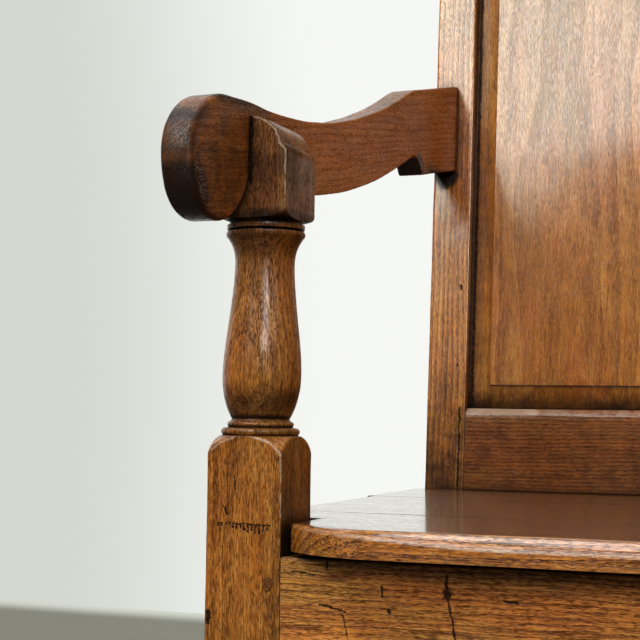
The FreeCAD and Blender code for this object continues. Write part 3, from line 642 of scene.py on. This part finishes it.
def post_profile():
    """The post from the floor up, as turned before its blocks are squared."""
    cheek_rise = cheek_height - arm_rest
    profile = foot(foot_top) + block(foot_top + shoulder, lower_turning - shoulder)
    profile += vase(lower_turning, lower_turning_top)
    profile += block(lower_turning_top + shoulder, upper_turning - shoulder)
    profile += vase(upper_turning, set_in_from, undercut=True)
    profile += [(25.0, set_in_from + 0.1), (24.6, set_in_from + 0.8), (24.8, set_in_from + 1.6)]
    profile += bowed((25.4, set_in_from + 2.1), (33.6, set_in_from + 2.4), (38.5, set_in_from + 4.8),
                     (corner_reach, set_in_from + 9.7), 30)
    profile += [(corner_reach, arm_rest + rise) for rise in (-8.0, -0.02, 0.02)]
    profile += [(corner_reach, arm_rest + cheek_rise * share) for share in (0.2, 0.4, 0.6, 0.8, 0.93, 1)]
    return profile


def turned_post():
    """The left front post: spun, squared at its blocks and cut away for the arm, with its cheek shaped."""
    bm = bmesh.new()
    verts = [bm.verts.new((radius * MM, 0, height * MM)) for radius, height in post_profile()]
    edges = [bm.edges.new(pair) for pair in zip(verts, verts[1:])]
    bmesh.ops.spin(
        bm, geom=verts + edges, cent=(0, 0, 0), axis=(0, 0, 1), angle=2 * math.pi, steps=96, use_merge=True,
    )
    bmesh.ops.remove_doubles(bm, verts=bm.verts, dist=0.000004)
    half = post_size / 2
    rim = set()
    for vert in bm.verts:
        radius = math.hypot(vert.co.x, vert.co.y) / MM
        height = vert.co.z / MM
        if radius < 0.01:
            continue
        angle = gathered(math.atan2(vert.co.y, vert.co.x))
        reach = block_reach(radius, angle)
        x = half + reach * math.cos(angle)
        y = half + reach * math.sin(angle)
        if upper_turning < height < set_in_from + 1.7:
            above = height - upper_turning
            lean = min(above / (set_in_from - upper_turning), 1.0)
            x += turning_lean * lean * min(1.0, above / 60.0)
        if height > set_in_from:
            x = max(x, stile_out)
        if height > arm_rest:
            x = max(x, cheek_inner)
            share = (height - arm_rest) / (cheek_height - arm_rest)
            height = arm_rest + share * (cheek_line(x) - arm_rest)
            if share > 0.999:
                rim.add(vert)
        vert.co = at(x, y, height)

    def middle(edge):
        return (edge.verts[0].co + edge.verts[1].co) / 2 / MM

    top = [
        edge for edge in bm.edges
        if all(vert in rim for vert in edge.verts) and edge.calc_length() > 0.000002
        and cheek_inner + 0.1 < middle(edge).x < post_size - 0.4
    ]
    top.sort(key=lambda edge: middle(edge).y >= half)
    bmesh.ops.bridge_loops(bm, edges=top)
    bmesh.ops.remove_doubles(bm, verts=bm.verts, dist=0.000004)
    holes = [edge for edge in bm.edges if len(edge.link_faces) == 1]
    bmesh.ops.holes_fill(bm, edges=holes, sides=0)
    bmesh.ops.recalc_face_normals(bm, faces=bm.faces)
    # The block corners are marked worn, and the finish paints them paler: wear and painted sheen
    layer = mark_layer(bm, "worn_and_sheen")
    for vert in bm.verts:
        x, y, z = vert.co / MM
        corner = min(abs(x), abs(post_size - x)) + min(abs(y), abs(post_size - y))
        crisp = 0.2 if z > arm_rest - 18 else 0.6
        vert[layer] = crisp * max(0.0, 1 - corner / 3.0)
    return bm


def at_left_end(bm):
    """Moves a post from its own frame to the bench's front left corner."""
    bmesh.ops.translate(bm, vec=at(-half_length, front_plane, 0), verts=bm.verts)


# Arms: one outline for both, in millimetres from the front plane and the floor
arm_outline = [
    ((-90.0, 676.0), (-90.0, 655.0), (-78.7, 635.6), (-49.5, 635.6), 12),
    ((-49.5, 635.6), (-28.2, 635.6), (-8.4, 652.3), (-1.5, 669.0), 9),
    ((54.0, 669.0), (150.1, 673.0), (261.9, 700.0), (368.0, 746.0), 22),
    ((368.0, 746.0), (375.0, 744.0), (385.0, 740.0), (389.5, 731.0), 6),
    ((503.3, 752.3), (505.3, 780.0), (507.3, 810.0), (509.3, 837.5), 2),
    ((372.0, 806.0), (364.98, 804.385), (356.07, 801.155), (345.0, 796.5), 6),
    ((345.0, 796.5), (285.1, 770.705), (158.24, 722.8), (23.0, 722.8), 26),
    ((23.0, 722.8), (-0.6, 722.8), (-16.5, 721.0), (-36.0, 720.0), 8),
    ((-36.0, 720.0), (-58.7, 718.9), (-90.0, 703.3), (-90.0, 676.0), 16),
]
arm_thickness = 22.5
arm_arris = 5.5
nose_worn_to = -75.0
wear_fade = 55.0


def arm_points():
    """The arm's outline as places along the depth and up from the floor."""
    points = []
    for a, b, c, d, steps in arm_outline:
        for point in bowed(a, b, c, d, steps):
            if not points or (Vector(point) - Vector(points[-1])).length > 0.5:
                points.append(point)
    if (Vector(points[0]) - Vector(points[-1])).length < 0.5:
        points.pop()
    return points


def rim_place(point, start, end):
    """The place on a stretch of the rim, level with the point across the arm, that is nearest to it."""
    run = end - start
    flat = Vector((0, point.y - start.y, point.z - start.z))
    along = share_of(flat.dot(run), max(run.length_squared, 1e-12))
    place = start + run * along
    return Vector((point.x, place.y, place.z))


def arm():
    """A plank on edge whose arrises are worn round at the nose and crisper behind."""
    left = -half_length + stile_out
    right = left + arm_thickness
    outline = arm_points()
    rim = [at(0, front_plane + y, z) for y, z in outline]
    bm = outline_timber([at(left, front_plane + y, z) for y, z in outline], at(arm_thickness, 0, 0))
    for vert in ease(bm, arm_arris, 7):
        share = 1.0 - 0.6 * share_of(vert.co.y / MM - front_plane - nose_worn_to, wear_fade)
        places = [rim_place(vert.co, rim[index - 1], rim[index]) for index in range(len(rim))]
        near = min(places, key=lambda place: (place - vert.co).length_squared)
        face = left * MM if vert.co.x < (left + arm_thickness / 2) * MM else right * MM
        vert.co += (near - vert.co) * (1 - share)
        vert.co.x = face + (vert.co.x - face) * share
    return bm


def aim(thing, place, way, turn):
    """Puts a camera or a light at a place, looking one way and turned about its line of sight."""
    thing.location = place
    thing.rotation_mode = "QUATERNION"
    thing.rotation_quaternion = way.to_track_quat("-Z", "Y") @ Quaternion((0, 0, 1), turn)


# The camera, in front of the bench and turned to its left arm; the angles are in radians
swing = 0.36827
rise = 0.05889
roll = 0.01388
looking = Vector((-math.sin(swing) * math.cos(rise), math.cos(swing) * math.cos(rise), math.sin(rise)))
camera_data = bpy.data.cameras.new("camera")
camera_data.lens = 85.0
camera_data.sensor_width = 36.0
camera_data.clip_start = 0.05
camera_data.clip_end = 60.0
camera = new_object("camera", camera_data)
aim(camera, (-0.3128, -1.16345, 0.5155), looking, roll)
bpy.context.scene.camera = camera


# Studio: a pale floor in a white room, with one broad soft light from the front left
def softbox(name, place, target, width, height, power, tint=(1, 1, 1), turn=0.0):
    """A rectangular light aimed at a place, in metres and watts."""
    data = bpy.data.lights.new(name, "AREA")
    data.shape = "RECTANGLE"
    data.size = width
    data.size_y = height
    data.energy = power
    data.color = tint
    aim(new_object(name, data), place, Vector(target) - Vector(place), math.radians(turn))


softbox("window", (-1.60, -3.28, 2.72), (-0.65, 0.0, 0.75), 1.7, 1.7, 76.0, (0.93, 1.06, 0.98), 24.0)
softbox("skylight", (-1.5, -1.7, 3.1), (-0.5, 0.0, 0.6), 2.0, 1.6, 52.0)
softbox("lamp", (0.52, -2.52, 1.55), (-0.72, -0.21, 0.6), 0.9, 0.85, 36.0)
softbox("fill", (2.6, -2.2, 1.8), (-0.5, -0.2, 0.6), 1.0, 0.9, 7.0)
softbox("overhead", (-1.0, -0.1, 2.9), (-0.66, 0.24, 0.52), 0.9, 0.6, 11.0)
softbox("low_window", (-1.95, -3.1, 1.35), (-0.73, 0.24, 0.72), 0.4, 0.8, 1.5, (1.1, 0.96, 0.74))

# The room lights the bench mostly from behind and above, and shows as a pale wall
world = bpy.data.worlds.new("room")
bpy.context.scene.world = world
sky = fresh_tree(world)
facing = add(sky, "TexCoord").outputs["Generated"]
split = add(sky, "SeparateXYZ", Vector=facing)
toward_wall = stepped(sky, split.outputs["Y"], -0.1, 0.45)
overhead = stepped(sky, split.outputs["Z"], 0.55, 0.95)
wall_end = stepped(sky, split.outputs["X"], 0.0, 0.3, 1.0, 0.15)
toward_wall = times(sky, toward_wall, wall_end)
room_level = fused(sky, toward_wall, 0.96, 0.10)
room_level = fused(sky, overhead, 0.7, room_level)
seen = add(sky, "LightPath").outputs["Is Camera Ray"]
lit = add(sky, "Background", Color=colour(0.98, 1.0, 0.955), Strength=room_level)
shaded = stepped(sky, split.outputs["X"], -0.52, -0.34)
wall_colour = blended(sky, shaded, colour(0.66, 0.68, 0.63), colour(0.925, 0.935, 0.90))
wall = add(sky, "Background", Color=wall_colour, Strength=1.0)
mixed = add(sky, "MixShader")
sky.links.new(seen, mixed.inputs[0])
sky.links.new(lit.outputs[0], mixed.inputs[1])
sky.links.new(wall.outputs[0], mixed.inputs[2])
add(sky, "OutputWorld", Surface=mixed.outputs[0])

# The floor, which grows pale toward its far edge and throws little colour on the bench
floor_half_width = 9.0
floor_half_depth = 6.0
floor_far_edge = 2.30
floor_fade = 0.18
floor_mesh = bpy.data.meshes.new("floor")
floor_bm = bmesh.new()
bmesh.ops.create_grid(floor_bm, x_segments=4, y_segments=4, size=1.0)
bmesh.ops.scale(floor_bm, vec=(floor_half_width, floor_half_depth, 1.0), verts=floor_bm.verts)
bmesh.ops.translate(floor_bm, vec=(0, floor_far_edge - floor_half_depth, 0), verts=floor_bm.verts)
floor_bm.to_mesh(floor_mesh)
floor_bm.free()
floor = new_object("floor", floor_mesh)
paving = bpy.data.materials.new("floor_stone")
paving_tree = fresh_tree(paving)
floor_place = add(paving_tree, "TexCoord").outputs["Object"]
clouding = mottle(paving_tree, floor_place, 3.0, 3.0)
stone = blended(paving_tree, clouding, colour(0.136, 0.129, 0.092), colour(0.160, 0.152, 0.107))
depth = add(paving_tree, "SeparateXYZ", Vector=floor_place).outputs["Y"]
far_side = stepped(paving_tree, depth, floor_far_edge - floor_fade, floor_far_edge)
stone = blended(paving_tree, far_side, stone, colour(0.68, 0.68, 0.62))
stone_seen = add(paving_tree, "LightPath").outputs["Is Camera Ray"]
stone = blended(paving_tree, stone_seen, colour(0.06, 0.055, 0.05), stone)
paving_shader = add(paving_tree, "BsdfPrincipled", Base_Color=stone, Roughness=0.6)
add(paving_tree, "OutputMaterial", Surface=paving_shader.outputs["BSDF"])
floor_mesh.materials.append(paving)


# Marks, each from one place to another with a width, measured from the left end and up from the floor
def on_front(*marks):
    """Marks on the front faces of the left post and the seat rail."""
    return [
        ((x0 - half_length, front_plane, z0), (x1 - half_length, front_plane, z1), width)
        for x0, z0, x1, z1, width in marks
    ]


def on_back(depth, *marks):
    """Marks on the raked faces of the back, which lie some way behind the stiles' face."""
    placed = []
    for x0, z0, x1, z1, width in marks:
        ends = [(x - half_length, back_face + depth + (z - seat_top) * math.tan(rake), z)
                for x, z in ((x0, z0), (x1, z1))]
        placed.append((ends[0], ends[1], width))
    return placed


tick_lengths = (1.8, 1.0, 0.0, 1.2, 2.0, 3.0, 2.4, 3.6, 4.2, 3.2, 4.6, 5.0, 3.8, 2.4)
scribed = [
    (8.6 + 2.75 * n, 438.6, 8.8 + 2.7 * n, 438.2 - 0.05 * n - length, 0.95)
    for n, length in enumerate(tick_lengths)
]
# The post's own marks: a scribed line with its ticks, a dent and scratches, and the dark line by the arm at
# the top, which is painted shadow in the joint
post_marks = on_front(
    (8.0, 438.4, 14.0, 438.3, 0.6), (19.0, 438.3, 28.0, 438.2, 0.7), (30.0, 438.2, 46.5, 437.6, 0.8),
    (12.9, 449.6, 15.0, 444.4, 1.1),
    (2.5, 379.0, 2.6, 372.4, 2.2), (36.0, 350.0, 34.0, 333.0, 0.7), (20.0, 470.0, 21.0, 461.0, 0.6),
    *scribed, (28.4, 711.0, 28.4, 667.0, 1.7),
)
# Painted highlights along the cheek's front edge, down the block corners and along the lower block's
# shoulder arch
post_glints = on_front(
    (29.5, 712.0, 38.0, 709.5, 0.8), (38.0, 709.5, 45.5, 702.5, 0.8), (45.5, 702.5, 49.0, 695.0, 0.9),
    (49.0, 693.6, 53.4, 688.5, 0.9), (53.8, 688.0, 53.8, 672.0, 1.0), (53.8, 668.0, 53.8, 655.0, 0.8),
    (53.7, 482.0, 53.7, 466.0, 0.9), (53.7, 460.0, 53.7, 444.0, 0.7), (53.2, 484.0, 50.0, 488.8, 1.0),
    (50.0, 488.8, 44.0, 492.8, 1.0), (44.0, 492.8, 34.0, 495.8, 0.9), (20.0, 495.8, 10.0, 492.8, 0.8),
    (10.0, 492.8, 3.0, 487.5, 0.8),
)


def keep_pair(left, name, node, slot, grain, piths, look, smooth_angle=32.0, **marks):
    """Keeps a piece of the left end, which alone has the marks, and its mirror image at the other end."""
    right = mirror_ends(left)
    for side, bm, pith, only_here in (("_left", left, piths[0], marks), ("_right", right, piths[1], {})):
        finish = old_oak("oak_" + node + side, grain, pith=pith, **only_here, **look)
        keep(bm, name + side, [node + side], finish, smooth_angle)


def joint_marks(*depths):
    """The dark lines along the seat's joints."""
    return [
        ((-half_length, front_plane + y, seat_top), (half_length, front_plane + y, seat_top), 1.3)
        for y in depths
    ]


# Front posts: darker in the grooves and under the upper block, with dirt and painted shade, painted shade
# under the vase's belly and at the cheek's front corner, and darker round the cheek and by the seat
post_look = dict(shade=0.88, pores=0.62, bands=0.16, coat=0.26, coat_polish=0.16,
                 grease=(-0.2, 0.0, -1.0))
post_middle = post_size / 2
post = turned_post()
# Darker rings round the post: dirt with painted shade in the grooves and in the hollow under the upper
# block, painted shade under the vase's belly, and a plain darkening of the beads, the collar and the lower
# post
for height, reach, amount in (
    (645.0, 12.0, 0.85), (643.0, 5.5, 0.85), (637.2, 1.9, 0.9), (632.0, 26.0, 0.55), (520.0, 17.0, 0.6),
    (509.5, 3.6, 0.85), (502.6, 1.0, 0.8), (502.0, 9.0, 0.42), (350.0, 70.0, 0.16), (302.0, 5.0, 0.7),
    (166.3, 3.2, 0.75), (71.0, 3.0, 0.7),
):
    soil_and_shade(post, (post_middle, post_middle, height), (200, 200, reach), amount)
# Darker round the cheek; at its front corner, where the arm's nose shades it, this is painted shade. Darker
# also low on the right face, by the seat
for place, reach, amount in (
    ((post_middle, post_middle, 680), (100, 100, 90), 0.58), ((54, 4, 688), (19, 60, 62), 0.76),
    ((10, 0, 655), (26, 30, 34), 0.9), ((60, 20, 430), (12, 60, 90), 0.8),
):
    soil_and_shade(post, place, reach, amount)
hand_work(post, 0.18, 26.0, 1.0)
at_left_end(post)
keep_pair(post, "post_front", "front_post", "oak_post", "Z", ((0.716, 0.135), (-0.74, 0.14)), post_look,
          40.0, rub=0.8, scars=post_marks, glints=post_glints)

# Arms, dark with handling on top and at the nose, with painted shade under the nose, in the notch and under
# the arm behind it
arm_rise = math.radians(10.0)
arm_inner = stile_out + arm_thickness - half_length
# A dark line on the arm where it meets the cheek: painted shadow in the joint
arm_joint_shadow_line = [((arm_inner, front_plane - 0.8, 712.0), (arm_inner, front_plane - 0.8, 667.0), 1.5)]
arm_look = dict(tone="russet", polish=0.4, coat=0.06, coat_polish=0.22, shade=1.38, gloss=0.22,
                tilt=-arm_rise, pores=0.3, veins=0.2, bands=0.08, grease=(0.1, -0.14, 0.0), contrast=0.78,
                rub=0.0, hue_drift=0.3)
left_arm = arm()
cut_across(left_arm, 1, 7.0)
cut_across(left_arm, 2, 7.0)
left_arm.normal_update()
handled_layer = mark_layer(left_arm, "soiled_and_shaded")
for vert in left_arm.verts:
    vert[handled_layer] = 0.62 * share_of(vert.normal.z - 0.3, 0.5)
nose = Vector((-half_length + 16.2, front_plane - 90.0, 672.0))
# Handling grime on the nose, its inner face and the top; painted shade under the nose, in the notch and
# under the arm behind it; both on the nose's lower front
for offset, reach, amount in (
    ((0, 0, 8), (60, 26, 60), 0.85), ((0, 6, -28), (60, 36, 44), 1.6), ((0, 40, -40), (60, 60, 20), 0.9),
    ((0, 50, 0), (60, 120, 110), 0.62), ((0, 8, 30), (60, 38, 26), 0.95), ((0, 55, 50), (60, 110, 16), 1.1),
    ((0, 472, 66), (60, 15, 16), 1.8), ((0, 520, 64), (60, 70, 16), 0.9),
):
    soil_and_shade(left_arm, nose + Vector(offset), reach, amount)
hand_work(left_arm, 0.35, 34.0, 4.0)
keep_pair(left_arm, "armrest", "arm", "oak_arm", "Y", ((0.80, 0.80), (-0.69, 0.82)), arm_look,
          scars=arm_joint_shadow_line)


# Back posts, sawn from the straight with a raked upper part
raked_length = 621.514


def back_post():
    """The left back post."""
    top = Vector((0, back_face + raked_length * math.sin(rake), seat_top + raked_length * math.cos(rake)))
    top_back = top + Vector((0, stile_depth * math.cos(rake), -stile_depth * math.sin(rake)))
    bend = stile_depth * (1 - math.cos(rake)) / math.sin(rake)
    corners = [(back_face, 0), (back_face, seat_top), (top.y, top.z), (top_back.y, top_back.z),
               (back_face + stile_depth, seat_top - bend), (back_face + stile_depth, 0)]
    points = [at(-half_length + stile_out, y, z) for y, z in corners]
    return outline_timber(points, at(stile_width, 0, 0))


left_stile = back_post()
ease(left_stile, 0.9, 2)
cut_across(left_stile, 0, 5.0)
cut_across(left_stile, 2, 8.0)
stile_middle = stile_out + stile_width / 2 - half_length
arm_shadow = (-half_length + 18, back_face + 21, 747)
# Darker towards the bottom; under the arm's end the darkening is the arm's painted shadow
soil_and_shade(left_stile, (stile_middle, back_face, seat_top), (60, 60, 165), 0.74)
soil_and_shade(left_stile, arm_shadow, (16, 30, 15), 2.2)
hand_work(left_stile, 0.3, 40.0, 7.0)
stile_marks = on_back(
    0, (35.8, 638.0, 36.0, 634.5, 1.7), (34.0, 560.5, 34.1, 559.5, 1.6), (26.8, 495.0, 26.8, 493.4, 2.0),
    (37.7, 441.0, 37.7, 519.0, 1.3),
)
stile_look = dict(polish=0.2, tilt=rake, coat=1.0, coat_polish=0.17, shade=1.3, contrast=0.82)
keep_pair(left_stile, "post_back", "back_post", "oak_back_frame", "Z", ((0.80, -0.31), (-0.67, -0.33)),
          stile_look, scars=stile_marks)


# Back frame, made upright and leaned back
def upright_box(name):
    """A raked piece's corners before it leans."""
    straighten = Matrix.Rotation(rake, 3, "X")
    points = [straighten @ (vert.co - back_foot) + back_foot for vert in wood_nodes[name].data.vertices]
    low = Vector([min(point[axis] for point in points) for axis in range(3)])
    high = Vector([max(point[axis] for point in points) for axis in range(3)])
    return low, high


def frame_piece(name, trim, easing, seed, pitch_x, pitch_z):
    """A straight piece of the back, upright, without its tenons."""
    low, high = upright_box(name)
    bm = timber(low + Vector(trim) * MM, high - Vector(trim) * MM)
    ease(bm, easing, 2)
    cut_across(bm, 0, pitch_x)
    cut_across(bm, 2, pitch_z)
    hand_work(bm, 0.2, 40.0, seed)
    return bm


back_look = dict(polish=0.17, coat=0.9, coat_polish=0.12, shade=1.08)
top_rail = frame_piece("back_rail_top", (24, 0, 0), 1.2, 11.0, 24.0, 14.0)
lean_back(top_rail)
keep(top_rail, "rail_back_top", ["back_rail_top"],
     old_oak("oak_back_rail_top", "X", pith=(0.93, -0.34), **back_look))

low_rail_top = seat_top + 79.0
low_rail_depth = 24.0
chamfer = 6.0
bottom = timber(at(-frame_half, back_face, seat_top),
                at(frame_half, back_face + low_rail_depth, low_rail_top))
front_top = [
    edge for edge in bottom.edges
    if all(vert.co.z > (low_rail_top - 1) * MM and vert.co.y < (back_face + 1) * MM for vert in edge.verts)
]
bmesh.ops.bevel(bottom, geom=front_top, offset=chamfer * MM, offset_type="OFFSET", affect="EDGES",
                segments=1, profile=0.5, clamp_overlap=True, material=-1)
ease(bottom, 0.9, 2)
cut_across(bottom, 0, 24.0)
cut_across(bottom, 2, 14.0)
# The chamfer is marked worn, so the finish paints it pale along its length: a painted highlight
rubbed_layer = mark_layer(bottom, "worn_and_sheen")
for vert in bottom.verts:
    if vert.co.z > (low_rail_top - chamfer + 0.1) * MM and vert.co.y / MM - back_face < chamfer:
        vert[rubbed_layer] = 1.0
# Darker towards the bottom
soil_and_shade(bottom, (0, back_face, seat_top + 20), (9000, 60, 110), 0.42)
hand_work(bottom, 0.2, 40.0, 12.0)
lean_back(bottom)
# A painted glint runs along the chamfer
keep(bottom, "rail_back_bottom", ["back_rail_bottom"],
     old_oak("oak_back_rail_bottom", "X", pith=(-0.41, -0.27), tone="red", polish=0.2, coat=0.6,
             coat_polish=0.12, gloss=0.3, rub=0.75, shade=0.9, contrast=0.6,
             scars=on_back(0, (38.2, 441.0, 38.2, 519.0, 1.3)),
             glints=on_back(3.0, (41.0, 515.6, 110.0, 515.6, 6.0))))

for index in range(1, 4):
    node = "back_muntin_%d" % index
    upright = frame_piece(node, (0, 0, 30), 1.2, 12.0 + index, 14.0, 24.0)
    lean_back(upright)
    keep(upright, "muntin_%d" % index, [node],
         old_oak("oak_muntin_%d" % index, "Z", pith=(0.13 * index - 0.4, -0.33), tilt=rake, **back_look))

panel_look = dict(polish=0.15, tilt=rake, figure=0.005, coat=0.9, coat_polish=0.12, shade=1.03,
                  contrast=0.72, pores=0.3, bands=0.15, veins=0.2)
groove_inset = 12.0
panel_scratch = on_back(14.2, (72.4, 711.3, 62.6, 696.6, 0.7))
for index in range(1, 5):
    node = "back_panel_%d" % index
    panel = sawn_copy(node)
    ease(panel, 0.7, 2, 12.0)
    cut_across(panel, 0, 10.0)
    cut_across(panel, 2, 14.0)
    low, high = (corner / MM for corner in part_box(node))
    middle = (low + high) / 2
    # Painted shade along the bottom, where the bevel faces down; a little darker across the middle and at
    # the sides next to the frame
    soil_and_shade(panel, (middle.x, middle.y, low.z), (2000, 900, 42), 0.9)
    soil_and_shade(panel, (middle.x, middle.y, 690), (2000, 900, 110), 0.22)
    for side in (low.x, high.x):
        soil_and_shade(panel, (side, middle.y, middle.z), (40, 900, 3000), 0.55)
    hand_work(panel, 0.22, 60.0, 20.0 + index)
    marks = []
    # Dark lines where the panel goes into the frame: painted shadow in the grooves
    for x in (low.x + groove_inset + half_length, high.x - groove_inset + half_length):
        marks += on_back(9.0, (x, 500, x, 1000, 2.4))
    if index == 1:
        marks += panel_scratch
    keep(panel, "panel_%d" % index, [node],
         old_oak("oak_panel_%d" % index, "Z", pith=(0.62 - 0.37 * (index - 1), -0.42), scars=marks,
                 **panel_look), 20.0)

# Seat boards; the front one's outline goes round the post at each end
board_thickness = 18.0
nosing_reach = 30.0
corner_turn = 90.0
corner_start = 0.5
notch_place = half_length - post_size - 7.5
notch_depth = post_size + 3.0
front_board_depth = 123.4
corner_sweep = math.acos((corner_turn - corner_start - nosing_reach) / corner_turn)
corner_middle = notch_place - corner_turn * math.sin(corner_sweep)
corner_steps = 14
corner_turns = [corner_sweep * step / corner_steps for step in range(corner_steps + 1)]
half_outline = [
    (corner_middle + corner_turn * math.sin(turn), corner_turn - nosing_reach - corner_turn * math.cos(turn))
    for turn in corner_turns
]
half_outline += [(notch_place, notch_depth), (half_length, notch_depth), (half_length, front_board_depth)]
whole_outline = [(-x, y) for x, y in reversed(half_outline)] + half_outline


def on_nosing(edge):
    """Whether an edge is the front board's upper front arris."""
    high = all(vert.co.z > (seat_top - 1) * MM for vert in edge.verts)
    return high and all(vert.co.y < (front_plane + 2) * MM for vert in edge.verts)


def nosing_line(x):
    """How far the front edge stands at a place along the seat."""
    past = abs(x) - corner_middle
    if past <= 0:
        return -nosing_reach
    return corner_turn - nosing_reach - math.sqrt(max(0.0, corner_turn ** 2 - min(past, corner_turn) ** 2))


front_board = outline_timber(
    [at(x, front_plane + y, seat_top - board_thickness) for x, y in whole_outline],
    at(0, 0, board_thickness),
)
nosing_front = front_plane - nosing_reach
ease(front_board, 2.2, 6, 30.0, on_nosing)
ease(front_board, 0.5, 2, 50.0)
cut_across(front_board, 0, 12.0)
cut_across(front_board, 1, 10.0)
cut_across(front_board, 1, 1.6, (nosing_front + 2.3) * MM, (nosing_front + 16) * MM)
cut_across(front_board, 1, 3.0, (nosing_front + 16) * MM, (front_plane + 14) * MM)

# The nosing is worn to a slope, most of all away from the posts
board_middle = seat_top - board_thickness / 2
unworn_end = 60.0
wear_run = 130.0
least_slope, most_slope = 3.5, 9.0
least_drop, most_drop = 0.6, 8.0
soiled_layer = mark_layer(front_board, "soiled_and_shaded")
for vert in front_board.verts:
    if vert.co.z <= board_middle * MM:
        continue
    inward = vert.co.y / MM - front_plane - nosing_line(vert.co.x / MM)
    worn_down = share_of(half_length - unworn_end - abs(vert.co.x / MM), wear_run)
    slope = least_slope + (most_slope - least_slope) * worn_down
    if inward < slope:
        drop = least_drop + (most_drop - least_drop) * worn_down
        vert.co.z -= drop * (1 - max(inward, 0.0) / slope) ** 1.2 * MM
    if vert.co.z > board_middle * MM:
        vert[soiled_layer] = 0.58 * share_of(inward - slope + 1, 5)
hand_work(front_board, 0.1, 60.0, 31.0)
seat_look = dict(polish=0.18, coat=0.8, coat_polish=0.11, grease=(0.0, 0.0, 0.0))
keep(front_board, "board_front", ["seat_board_front"],
     old_oak("oak_seat_front", "X", pith=(0.35, 0.36), figure=0.005, pores=0.8, veins=0.7,
             scars=joint_marks(front_board_depth), **seat_look))

for board_name, seed in (("middle", 33.0), ("back", 35.0)):
    node = "seat_board_" + board_name
    board = sawn_copy(node)
    ease(board, 0.5, 2, 50.0)
    cut_across(board, 0, 16.0)
    cut_across(board, 1, 14.0)
    low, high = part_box(node)
    soil_and_shade(board, (0, 0, seat_top), (9000, 9000, 12), 0.6)
    hand_work(board, 0.08, 60.0, seed)
    keep(board, "board_" + board_name, [node],
         old_oak("oak_board_" + board_name, "X", pith=(0.33 + 0.01 * seed, 0.2), figure=0.006,
                 scars=joint_marks(low.y / MM - front_plane, high.y / MM - front_plane), **seat_look))

# Seat frame and stretchers: straight timbers along an axis, with each end cut back to its shoulder
straight = [
    ("rail_seat_front", "seat_rail_front", 0, 32, 32, "warm", (0.33, 0.27), 1.1),
    ("rail_seat_back", "seat_rail_back", 0, 24, 24, "red", (0.30, -0.31), 1.1),
    ("rail_seat_left", "seat_rail_left", 1, 30, 18, "warm", (0.84, -0.37), 1.1),
    ("rail_seat_right", "seat_rail_right", 1, 30, 18, "warm", (-0.66, -0.35), 1.1),
    ("bearer_1", "seat_bearer_1", 1, 12, 12, "red", (0.30, -0.42), 1.0),
    ("bearer_2", "seat_bearer_2", 1, 12, 12, "red", (-0.20, -0.42), 1.0),
    ("stretcher_low_front", "stretcher_front", 0, 26, 26, "warm", (0.12, 0.27), 1.6),
    ("stretcher_low_back", "stretcher_back", 0, 24, 24, "red", (0.14, -0.29), 1.3),
    ("stretcher_low_left", "stretcher_left", 1, 17, 17, "warm", (0.76, -0.15), 1.4),
    ("stretcher_low_right", "stretcher_right", 1, 17, 17, "warm", (-0.68, -0.16), 1.4),
]
rail_marks = on_front(
    (167.5, 410.9, 168.2, 400.9, 1.4), (168.2, 401.5, 170.3, 389.2, 1.1), (170.3, 389.2, 173.7, 372.0, 0.9),
    (168.2, 399.4, 168.4, 400.6, 3.8), (125.0, 402.6, 125.1, 396.0, 1.2), (87.1, 416.3, 87.2, 411.2, 1.0),
    (129.9, 386.8, 129.9, 386.6, 2.2), (82.6, 388.4, 91.0, 387.5, 1.2), (90.0, 387.2, 100.0, 384.9, 0.9),
    (98.6, 382.9, 102.3, 367.2, 0.6), (62.0, 409.0, 78.0, 407.6, 0.8), (205.0, 398.0, 214.0, 397.0, 1.0),
)
for place_in_list, (name, node, axis, trim_low, trim_high, tone, pith, easing) in enumerate(straight):
    bm = node_timber(node, axis, trim_low, trim_high)
    ease(bm, easing, 2)
    cut_across(bm, axis, 15.0)
    cut_across(bm, 2, 13.0)
    hand_work(bm, 0.25, 38.0, 50.0 + place_in_list)
    keep(bm, name, [node],
         old_oak("oak_" + name, "XY"[axis], pith=pith, tone=tone, polish=0.33, shade=1.06, veins=0.9,
                 pores=0.66, hue_drift=0.8, scars=rail_marks if name == "rail_seat_front" else ()))

# Pegs, whittled and a little proud
peg_look = dict(pith=(0.2, 0.3), polish=0.5, figure=0.002, coat=0.02, shade=0.46, gloss=0.2)
peg_finish = old_oak("oak_pegs", "Y", **peg_look)
side_peg_finish = old_oak("oak_side_pegs", "X", **peg_look)
for name, node, finish in (
    ("seat", "pegs_seat_frame", peg_finish), ("stretchers", "pegs_stretchers", peg_finish),
    ("arms", "pegs_arms", side_peg_finish), ("back", "pegs_back_frame", peg_finish),
):
    bm = sawn_copy(node)
    ease(bm, 0.5, 2, 60.0)
    hand_work(bm, 0.2, 5.0, 90.0)
    keep(bm, "peg_heads_" + name, [node], finish)

bpy.context.scene.view_settings.view_transform = "Standard"
